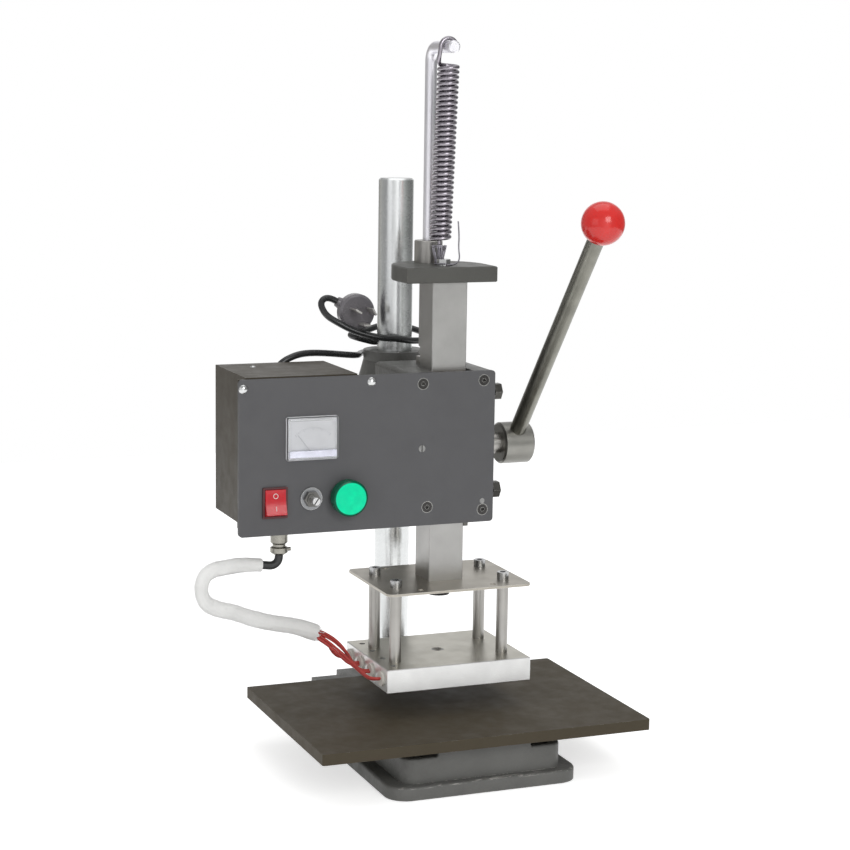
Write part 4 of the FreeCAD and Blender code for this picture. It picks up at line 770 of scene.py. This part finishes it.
        # Silicone rubber, extruded over stranded copper: brick red, dull, a little dusty.
        rubber = moulded("silicone_extruded_red", colours().wire, (0.45, 0.62), tint=0.12, grain_mm=2.5,
                         depth=0.2, IOR=1.41)
        radius = sizes().wire_across / 2.0
        for number, route in enumerate(WIRE_ROUTES):
            points = centre_line(route)
            lines = frames_along(points)
            total = line_length(points)
            # Two wires twisted together, each pair turned a little further than the last.
            for half in (0, 1):
                strand = []
                travelled = 0.0
                for k, point in enumerate(points):
                    if k:
                        travelled += (point - points[k - 1]).length
                    _, side, up = lines[k]
                    turn = math.pi * half + 0.6 * number + 2.2 * travelled / total
                    strand.append(point + spoke(side, up, turn) * radius * 1.02)
                verts, faces, uvs = tube(strand, radius, sides=12)
                wire = new_piece("heater_wire_%d_%d" % (number + 1, half + 1), verts, faces, rubber,
                                 uvs=uvs)
                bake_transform(wire)
                if not number and not half:
                    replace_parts(wire, "heater_wires")


class PRESS_OT_return_spring(bpy.types.Operator):
    """Wound return spring and the soft wire that ties its foot"""
    bl_idname = "press.return_spring"
    bl_label = "Return spring"

    def execute(self, context):
        # Spring steel wire, drawn and coiled cold: grey with a cool shine and die lines along the wire.
        bright = bare_metal("spring_steel_drawn", linear("#a19ca3"), (0.20, 0.32), 0.7, depth=0.1)
        mean = sizes().spring_mean

        def at(turn):
            share = turn / SPRING_TURNS
            angle = math.tau * turn
            middle = SPRING_LOW.lerp(SPRING_HIGH, share)
            return middle + Vector((mean * math.sin(angle), -mean * math.cos(angle), 0.0))

        def way(turn, reach):
            return (at(turn + 0.001) - at(turn - 0.001)).normalized() * reach

        # The wire enters the coil a quarter turn early and leaves it 0.6 turns late, for the hook.
        first, last = -0.25, SPRING_TURNS + 0.6
        foot = Vector((0.0, TIE_Y, STOP_TOP + TIE_HEIGHT))
        rise = sizes().spring_wire
        hook = HANGER_RADIUS + sizes().spring_wire / 2.0 + 0.0003
        left = Vector((-hook, SPRING_HIGH.y, HANGER_AXIS_Z))
        up = Vector((0.0, 0.0, 1.0))
        points = [foot + up * (rise * k / 3.0) for k in range(3)]
        points += hermite(foot + up * rise, up * 0.012, at(first), way(first, 0.012), 14)
        count = int((last - first) * 36)
        points += [at(first + (last - first) * k / count) for k in range(count)]
        points += hermite(at(last), way(last, 0.018), left, up * 0.012, 16)
        points += [Vector((-hook * math.cos(math.pi * k / 16.0), SPRING_HIGH.y,
                           HANGER_AXIS_Z + hook * math.sin(math.pi * k / 16.0))) for k in range(17)]
        points.append(Vector((hook, SPRING_HIGH.y, HANGER_AXIS_Z - rise)))
        verts, faces, uvs = tube(points, sizes().spring_wire / 2.0, sides=12)
        spring = new_piece("wound_spring", verts, faces, bright, uvs=uvs)
        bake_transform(spring)
        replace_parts(spring, "return_spring")
        self.tie()
        return {"FINISHED"}

    def tie(self):
        # Iron wire, annealed black and rubbed bright by handling.
        soft = bare_metal("iron_wire_annealed", colours().binding, (0.26, 0.42), 0.8, depth=0.15, tint=0.25,
                          cloud_mm=4.0)
        radius = sizes().tie_wire / 2.0
        parts = []
        # A brush of wires from the stop plate up to the spring's foot.
        strands = 16
        for k in range(strands):
            turn = math.tau * k / strands
            sway = 0.35 * math.sin(k * 2.3)
            line = []
            for step in range(9):
                share = step / 8.0
                angle = turn + sway * share
                bulge = 0.0030 + 0.0025 * share ** 1.3 + 0.0004 * math.sin(k * 1.7 + share * 3.0)
                line.append(Vector((math.sin(angle) * bulge, TIE_Y - math.cos(angle) * bulge,
                                    STOP_TOP + 0.0006 + share * (TIE_HEIGHT - 0.0012))))
            parts.append(tube(line, radius * 1.15, sides=8)[:2])
        # Two turns bind the brush, one lies on the stop plate, and the tail stands up beside the spring.
        for height, across in ((0.0128, 0.0053), (0.0142, 0.0055)):
            line = [Vector((math.sin(t * 0.3) * across, TIE_Y - math.cos(t * 0.3) * across,
                            STOP_TOP + height + 0.0001 * t)) for t in range(22)]
            parts.append(tube(line, radius, sides=8)[:2])
        line = [Vector((math.sin(t * 0.25) * 0.0073, -math.cos(t * 0.25) * 0.0073,
                        STOP_TOP + radius + 0.00004 * t)) for t in range(26)]
        parts.append(tube(line, radius, sides=8)[:2])
        tail = centre_line([(0.0069, -0.0015, 0.4221), (0.0108, -0.003, 0.4227), (0.0134, -0.003, 0.4271),
                            (0.0124, -0.002, 0.4361), (0.0130, -0.002, 0.4461), (0.0122, -0.001, 0.4581)])
        parts.append(tube(tail, radius, sides=8)[:2])
        verts, faces = joined(parts)
        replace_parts(new_piece("tie_strands", verts, faces, soft, "ram"), "spring_tie")


class PRESS_OT_castings(bpy.types.Operator):
    """Enamel on the base and head castings"""
    bl_idname = "press.castings"
    bl_label = "Castings"

    def execute(self, context):
        # Grey iron, sand cast and enamelled: matt grey over the sand's grain, with bare chips on the edges.
        dress(painted("cast_iron_enamelled", colours().casting, colours().chip, sizes().edge_wear,
                      gloss=(0.40, 0.60), cast_mm=2.2, wear_share=0.55, tint=0.10, rim=(0.0103, -0.113)),
              "base_casting")
        # Grey iron, machined and enamelled: smoother, few chips.
        dress(painted("cast_iron_enamelled_smooth", colours().casting, colours().chip, 0.0005,
                      gloss=(0.35, 0.5), cast_mm=3.0, wear_share=0.25), "head_casting")
        return {"FINISHED"}


class PRESS_OT_table(bpy.types.Operator):
    """Work table"""
    bl_idname = "press.table"
    bl_label = "Work table"

    def execute(self, context):
        # Steel plate, black oxide finish: near black brown, low shine, paler along worn edges.
        dress(painted("steel_plate_blackened", colours().table, linear("#7d7a74"), 0.0006,
                      gloss=(0.50, 0.64), peel_mm=1.4, peel=0.08, wear_share=0.35, tint=0.04, shine=0.18),
              "work_table")
        return {"FINISHED"}


class PRESS_OT_bars(bpy.types.Operator):
    """Column, ram, rods and posts"""
    bl_idname = "press.bars"
    bl_label = "Bars"

    def execute(self, context):
        # Steel bar, centreless ground and chromed thinly: bright but satin, with fine rings round it.
        dress(bare_metal("steel_bar_chromed", colours().chrome, (0.22, 0.30), 0.6, (0.25, 0.25, 6.0), 0.04,
                         tint=0.03, cloud_mm=40.0), "column")
        # Round rod, drawn, bent and zinc plated: pale with a soft shine.
        dress(bare_metal("steel_rod_zinc_plated", linear("#f2f1f6"), (0.36, 0.46), 0.6, depth=0.08,
                         tint=0.03, cloud_mm=30.0), "hanger_rod")
        # Square bar, surface ground along its length: satin, with fine lengthwise lines.
        dress(bare_metal("steel_bar_ground", colours().steel, (0.30, 0.44), 0.9, (6.0, 6.0, 0.25), 0.35,
                         tint=0.10, cloud_mm=45.0), "ram_bar")
        # Round bar, turned and polished with a belt: satin with rings round it.
        dress(bare_metal("steel_bar_turned", linear("#a8a6a2"), (0.28, 0.40), 0.7, (0.3, 0.3, 6.0), 0.15,
                         tint=0.06, cloud_mm=30.0),
              "post_front_left", "post_front_right", "post_rear_left", "post_rear_right", "guide_bush",
              "pinion_shaft", "hanger_nut")
        return {"FINISHED"}


class PRESS_OT_die_holder(bpy.types.Operator):
    """Die plate and heated block"""
    bl_idname = "press.die_holder"
    bl_label = "Die holder"

    def execute(self, context):
        # Cold rolled sheet, deburred: satin grey with a brownish film of oil and bright cut edges.
        dress(bare_metal("steel_sheet_rolled", colours().plate, (0.30, 0.44), 1.0, (0.3, 6.0, 6.0), 0.12,
                         tint=0.07, cloud_mm=28.0, edge=linear("#dad8d3")), "die_plate")
        # Aluminium, face milled: pale and bright with cutter lines along the block, its upward faces darker,
        # a painted shade.
        dress(bare_metal("aluminium_milled", colours().aluminium, (0.28, 0.42), 1.1, (0.25, 5.0, 5.0), 0.2,
                         tint=0.05, cloud_mm=26.0, edge=linear("#f0f0ef"), top_shade_colour=linear("#bfbcb2")),
              "heating_block")
        # Glass fibre braid over the cartridges' ends: off white and matt.
        dress(moulded("glass_fibre_seal", linear("#d8d5cd"), (0.7, 0.9), grain_mm=0.6, depth=0.4), "heaters")
        return {"FINISHED"}


class PRESS_OT_panel(bpy.types.Operator):
    """Front panel and control box"""
    bl_idname = "press.panel"
    bl_label = "Panel and box"

    def execute(self, context):
        # Steel plate, powder coated matt: even grey with a fine grain, edges a shade paler.
        dress(painted("steel_powder_coated_grey", colours().panel, linear("#8d8c88"), 0.0005,
                      gloss=(0.50, 0.62), peel_mm=0.8, peel=0.2, wear_share=0.2, tint=0.04), "front_panel")
        # Folded sheet, powder coated: brownish grey, a little glossier than the panel.
        dress(painted("steel_sheet_powder_coated", colours().case, linear("#86827a"), 0.0004,
                      gloss=(0.42, 0.55), peel_mm=0.8, peel=0.2, wear_share=0.15, tint=0.06, shine=0.35),
              "control_box")
        # Glass epoxy laminate, etched and lacquered: green and slightly glossy.
        dress(moulded("epoxy_laminate_etched", linear("#1f5a3a"), (0.3, 0.45), grain_mm=1.5),
              "circuit_board")
        return {"FINISHED"}


class PRESS_OT_meter(bpy.types.Operator):
    """Heat meter with its dial"""
    bl_idname = "press.meter"
    bl_label = "Meter"

    def execute(self, context):
        # ABS, moulded pale grey: smooth with a soft shine.
        dress(moulded("abs_moulded_pale", colours().meter, (0.28, 0.38), IOR=ABS_IOR), "meter_body")
        # Acrylic, moulded clear: glossy, lightly scratched. The CAD's cover is solid where a real one is a
        # thin shell, so it bends light as little as the shell would.
        clear, tree, surface, place = new_material("acrylic_moulded_clear", Base_Color=WHITE, IOR=1.12,
                                                   Transmission_Weight=1.0)
        fill(tree, surface, {"Roughness": mottle(tree, place, 2.0, 0.02, 0.10)})
        dress(clear, "meter_cover")
        low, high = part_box("meter_cover")
        middle = (Vector(low) + Vector(high)) / 2.0
        face_y = high[1] - 0.0012
        # Card, printed grey on white: matt.
        card = moulded("card_printed", colours().dial, (0.55, 0.7), tint=0.02)
        verts, faces = slab((low[0] + 0.0009, face_y, low[2] + 0.0009),
                            (high[0] - 0.0009, high[1] + 0.0002, high[2] - 0.0009), 0.0004, 2)
        new_piece("dial_card", verts, faces, card, "head")
        # Printing ink: grey and matt, drawn as a scale of ticks and a needle lifted off the card.
        ink = moulded("printing_ink_grey", linear("#aeb0b5"), (0.5, 0.6))
        pivot = Vector((middle.x, face_y, low[2] + 0.0040))
        parts = []
        for k in range(DIAL_TICKS + 1):
            turn = math.radians(-DIAL_SPAN / 2.0 + DIAL_SPAN * k / DIAL_TICKS)
            outward = Vector((math.sin(turn), 0.0, math.cos(turn)))
            across = Vector((math.cos(turn), 0.0, -math.sin(turn)))
            inner, half = (0.0215, 0.00013) if k % 5 else (0.0205, 0.0002)
            outer = 0.0230
            corners = [pivot + outward * reach + across * half * way
                       for reach, way in ((inner, -1), (outer, -1), (outer, 1), (inner, 1))]
            lifted = [corner + Vector((0.0, -0.0001, 0.0)) for corner in corners]
            parts.append((corners + lifted, [(4, 5, 6, 7), (0, 1, 5, 4), (1, 2, 6, 5), (2, 3, 7, 6),
                                             (3, 0, 4, 7)]))
        turn = math.radians(NEEDLE_TURN)
        lift = Vector((0.0, -0.0009, 0.0))
        tip = pivot + Vector((math.sin(turn), 0.0, math.cos(turn))) * 0.0208 + lift
        parts.append(tube([pivot + lift, tip], 0.00018, sides=8)[:2])
        verts, faces = joined(parts)
        new_piece("dial_scale", verts, faces, ink, "head")
        # A bluish white band at the foot of the cover, a painted reflection, opaque so that it also hides
        # the needle's bearing.
        reflection_band = moulded("bluish_painted_reflection", linear("#e4e5f3"), (0.22, 0.32), IOR=ABS_IOR)
        verts, faces = slab((low[0] + 0.0016, low[1] + 0.0014, low[2] + 0.0022),
                            (high[0] - 0.0016, high[1] - 0.0002, low[2] + 0.0078), 0.0006, 3)
        new_piece("meter_reflection_band", verts, faces, reflection_band, "head")
        return {"FINISHED"}


class PRESS_OT_switch(bpy.types.Operator):
    """Rocker switch with its two marks"""
    bl_idname = "press.switch"
    bl_label = "Switch"

    def execute(self, context):
        # Nylon, moulded dark red: the frame round the key, with a soft shine.
        dress(moulded("nylon_moulded_dark_red", linear("#4e1c1f"), (0.30, 0.42), IOR=NYLON_IOR),
              "rocker_frame")
        # Polycarbonate, moulded red: glossy, lets a little light in.
        red, tree, surface, place = new_material("polycarbonate_moulded_red", IOR=1.58,
                                                 Specular_IOR_Level=0.4, Subsurface_Weight=0.15,
                                                 Subsurface_Scale=0.001)
        fill(tree, surface, patched(tree, place, colours().rocker, 5.0, (0.94, 1.06), 3.0, (0.16, 0.26)))
        dress(red, "rocker")
        # Ink, pad printed: pale and matt, in the marks O and I.
        pale = moulded("pad_ink_pale", colours().mark, (0.4, 0.55))
        low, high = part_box("rocker")
        pivot = Vector(((low[0] + high[0]) / 2.0, KEY_PIVOT_Y, KEY_PIVOT_Z))
        tilt = Matrix.Rotation(sizes().key_tilt, 3, "X")

        def on_face(across, up, lift):
            """A point on the key's hollowed face, tilted as the key is."""
            sink = 0.0042 - 0.0013 * (1.0 - (up / 0.01017) ** 2)
            return pivot + tilt @ Vector((across, -(sink + lift), up))

        radius, raised = 0.0019, 0.00002
        turns = [t * math.pi / 16.0 for t in range(33)]
        ring = [on_face(radius * math.cos(turn), 0.0052 + radius * math.sin(turn), raised) for turn in turns]
        bar = [on_face(0.0, -0.0070 + 0.0038 * k / 6.0, raised) for k in range(7)]
        verts, faces = joined([tube(mark, 0.00028, sides=8)[:2] for mark in (ring, bar)])
        new_piece("switch_marks", verts, faces, pale, "switch_key")
        return {"FINISHED"}


class PRESS_OT_control(bpy.types.Operator):
    """Heat control"""
    bl_idname = "press.control"
    bl_label = "Heat control"

    def execute(self, context):
        # Die cast zinc, nickel plated: grey, with a painted highlight on its edges.
        dress(bare_metal("zinc_nickel_plated", linear("#8d8e90"), (0.24, 0.36), 0.8, depth=0.1,
                         edge=linear("#ecebe8")), "control_washer")
        # Steel nut and bush, blackened: dark grey.
        dress(bare_metal("steel_blackened_nut", linear("#6f6e6b"), (0.3, 0.45), 0.8, depth=0.1),
              "control_body")
        # Aluminium, turned: pale with rings.
        dress(bare_metal("aluminium_turned", linear("#c9c9c9"), (0.2, 0.32), 0.5, (1.0, 5.0, 1.0), 0.1),
              "control_shaft")
        return {"FINISHED"}


class PRESS_OT_lamp(bpy.types.Operator):
    """Signal lamp"""
    bl_idname = "press.lamp"
    bl_label = "Lamp"

    def execute(self, context):
        low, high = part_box("lamp_lens")
        centre = (Vector(low) + Vector(high)) / 2.0
        # Acrylic, moulded green, with moulded rings 1.2 mm apart. Its face is bright green, partly its own
        # colour and partly a painted light from the reflector behind it, and its skirt a darker green, a
        # painted shade.
        green, tree, surface, place = new_material("acrylic_moulded_green", IOR=1.49,
                                                   Specular_IOR_Level=0.16, Subsurface_Weight=0.2,
                                                   Subsurface_Scale=0.003)
        moved = add_node(tree, "VectorMath", (place, tuple(centre)), operation="SUBTRACT")
        parts = add_node(tree, "SeparateXYZ", (moved,)).outputs
        squares = [add_node(tree, "Math", (parts[axis], parts[axis]), operation="MULTIPLY") for axis in "XZ"]
        total = add_node(tree, "Math", squares, operation="ADD")
        across = add_node(tree, "Math", (total,), operation="SQRT")
        skirt = add_node(tree, "MapRange", {"Value": across, "From Min": 0.0128, "From Max": 0.0136},
                         interpolation_type="SMOOTHSTEP")
        ripple = add_node(tree, "Math", (across, math.tau / 0.0012), operation="MULTIPLY")
        rings = add_node(tree, "Math", (ripple,), operation="SINE")
        # The face keeps the bright green and the skirt takes the darker one: painted light and painted
        # shade.
        tone = covered(tree, colours().lens, (skirt, colours().ring_green_and_skirt_shade))
        fill(tree, surface, patched(tree, place, tone, 6.0, (0.92, 1.06), 4.0, (0.10, 0.2)))
        fill(tree, surface, {"Normal": relief(tree, (rings, 0.12, 0.1))})
        dress(green, "lamp_lens")
        # ABS, moulded dark green: the ring round the lens, with a soft shine.
        dress(moulded("abs_moulded_dark_green", colours().ring_green_and_skirt_shade, (0.25, 0.36), IOR=ABS_IOR),
              "lamp_bezel")
        # Nylon, moulded: the black body behind the panel.
        dress(moulded("nylon_moulded_dark", colours().plastic, (0.4, 0.5)), "lamp_body")
        return {"FINISHED"}


class PRESS_OT_lever(bpy.types.Operator):
    """Hand lever"""
    bl_idname = "press.lever"
    bl_label = "Lever"

    def execute(self, context):
        # Phenolic, moulded and tumbled: deep red, high gloss.
        red, tree, surface, place = new_material("phenolic_moulded_red", IOR=1.6, Specular_IOR_Level=0.35,
                                                 Coat_Weight=0.2, Coat_Roughness=0.05)
        fill(tree, surface, patched(tree, place, colours().ball, 12.0, (0.94, 1.05), 8.0, (0.14, 0.24)))
        fill(tree, surface, {"Normal": relief(tree, (mottle(tree, place, 3.0, 0.0, 1.0), 0.04, 0.1))})
        dress(red, "ball_knob")
        # Steel rod, drawn: grey with lengthwise lines and old oil.
        dress(bare_metal("steel_rod_drawn", linear("#86857d"), (0.28, 0.42), 0.9, (6.0, 1.0, 1.0), 0.2,
                         tint=0.14, cloud_mm=20.0), "lever_rod")
        # Steel, turned: the lever's hub, grey with rings round it.
        dress(bare_metal("steel_hub_turned", linear("#8e8d88"), (0.3, 0.42), 0.7, (6.0, 0.4, 0.4), 0.15,
                         tint=0.1), "lever_hub")
        return {"FINISHED"}


class PRESS_OT_fittings(bpy.types.Operator):
    """Screws, bearings and the stop plate"""
    bl_idname = "press.fittings"
    bl_label = "Fittings"

    def execute(self, context):
        # Alloy steel screws, black oxide finish: near black, paler on their edges.
        dress(bare_metal("steel_screw_blackened", linear("#575653"), (0.30, 0.44), 0.8, depth=0.15,
                         tint=0.12, cloud_mm=5.0, edge=linear("#aaa9a5")),
              "gib_screws", "clamp_bolts", "hub_screw", "heater_screws", "table_screws", "column_screw",
              "retaining_ring")
        # The panel's screws, black oxide, paler on the head's rim and in the socket.
        dress(bare_metal("steel_screw_pale_rimmed", linear("#454443"), (0.28, 0.40), 0.8, depth=0.15, tint=0.10,
                         cloud_mm=5.0, edge=linear("#c4c3bf"), edge_reach=0.0006), "panel_screws")
        # Hardened steel pins, ground: grey and left dull.
        dress(bare_metal("steel_pin_ground", linear("#8f8f8e"), (0.34, 0.48), 0.6, depth=0.2, tint=0.15,
                         cloud_mm=3.0), "panel_pins")
        # Steel screws, zinc plated: pale and bright.
        dress(bare_metal("steel_screw_zinc_plated", colours().zinc, (0.16, 0.30), 0.6, tint=0.06,
                         cloud_mm=5.0), "box_screws", "stop_bolt", "board_spacers")
        dress(self.plate_screws(), "plate_screws")
        # Steel plate, painted black by brush: dull, edges rubbed.
        dress(painted("steel_plate_painted_black", linear("#50504c"), linear("#8a8882"), 0.0007,
                      gloss=(0.38, 0.52), peel_mm=1.2, wear_share=0.4, tint=0.1), "stop_plate")
        # Steel flange, turned and blackened: dark grey with rings round the lever's shaft.
        dress(bare_metal("steel_flange_blackened", linear("#6b6a66"), (0.32, 0.46), 0.8, (6.0, 0.5, 0.5),
                         tint=0.08), "right_bearing", "side_gib")
        # Bronze, sawn and scraped: brownish yellow with short lines across it.
        dress(bare_metal("bronze_scraped", linear("#b08d57"), (0.3, 0.45), 1.0, (1.0, 1.0, 4.0), 0.2),
              "front_gib", "left_bush")
        # Brass coupling, nickel plated and knurled: grey with fine upright ridges.
        dress(bare_metal("brass_coupling_plated", linear("#98968e"), (0.2, 0.34), 0.5, (3.0, 3.0, 0.5), 0.4,
                         tint=0.1, cloud_mm=6.0), "lead_connector")
        return {"FINISHED"}

    def plate_screws(self):
        """Steel screws: bright zinc at the corners, black oxide on the bolt in the middle of the plate."""
        material, tree, surface, place = new_material("steel_screw_two_finishes", Metallic=1.0)
        parts = add_node(tree, "SeparateXYZ", (place,)).outputs
        reach = [add_node(tree, "Math", (parts[axis],), operation="ABSOLUTE") for axis in "XY"]
        across = add_node(tree, "Math", reach, operation="ADD")
        corner = add_node(tree, "Math", (across, 0.030), operation="GREATER_THAN")
        tone = covered(tree, linear("#2c2b2a"), (corner, linear("#b9babb")))
        fill(tree, surface, patched(tree, place, tone, 3.0, (0.9, 1.06), 4.0, (0.22, 0.36)))
        return material


class PRESS_PT_sidebar(bpy.types.Panel):
    """Lists the press's pieces"""
    bl_idname = "PRESS_PT_sidebar"
    bl_label = "Embossing press"
    bl_space_type = "VIEW_3D"
    bl_region_type = "UI"
    bl_category = "Press"

    def draw(self, context):
        for operator in OPERATORS:
            self.layout.operator(operator.bl_idname)
        for group in (context.scene.press_colours, context.scene.press_sizes):
            column = self.layout.column()
            for key in group.__annotations__:
                column.prop(group, key)


OPERATORS = (PRESS_OT_studio, PRESS_OT_mains_cord, PRESS_OT_heater_lead, PRESS_OT_return_spring,
             PRESS_OT_castings, PRESS_OT_table, PRESS_OT_bars, PRESS_OT_die_holder, PRESS_OT_panel,
             PRESS_OT_meter, PRESS_OT_switch, PRESS_OT_control, PRESS_OT_lamp, PRESS_OT_lever,
             PRESS_OT_fittings)
CLASSES = (PressColours, PressSizes) + OPERATORS + (PRESS_PT_sidebar,)


def register():
    for one in CLASSES:
        bpy.utils.register_class(one)
    bpy.types.Scene.press_colours = bpy.props.PointerProperty(type=PressColours)
    bpy.types.Scene.press_sizes = bpy.props.PointerProperty(type=PressSizes)


def unregister():
    del bpy.types.Scene.press_sizes
    del bpy.types.Scene.press_colours
    for one in reversed(CLASSES):
        bpy.utils.unregister_class(one)


def main():
    register()
    bpy.ops.press.studio()
    bpy.ops.press.mains_cord()
    bpy.ops.press.heater_lead()
    bpy.ops.press.return_spring()
    bpy.ops.press.castings()
    bpy.ops.press.table()
    bpy.ops.press.bars()
    bpy.ops.press.die_holder()
    bpy.ops.press.panel()
    bpy.ops.press.meter()
    bpy.ops.press.switch()
    bpy.ops.press.control()
    bpy.ops.press.lamp()
    bpy.ops.press.lever()
    bpy.ops.press.fittings()


if __name__ == "__main__":
    main()
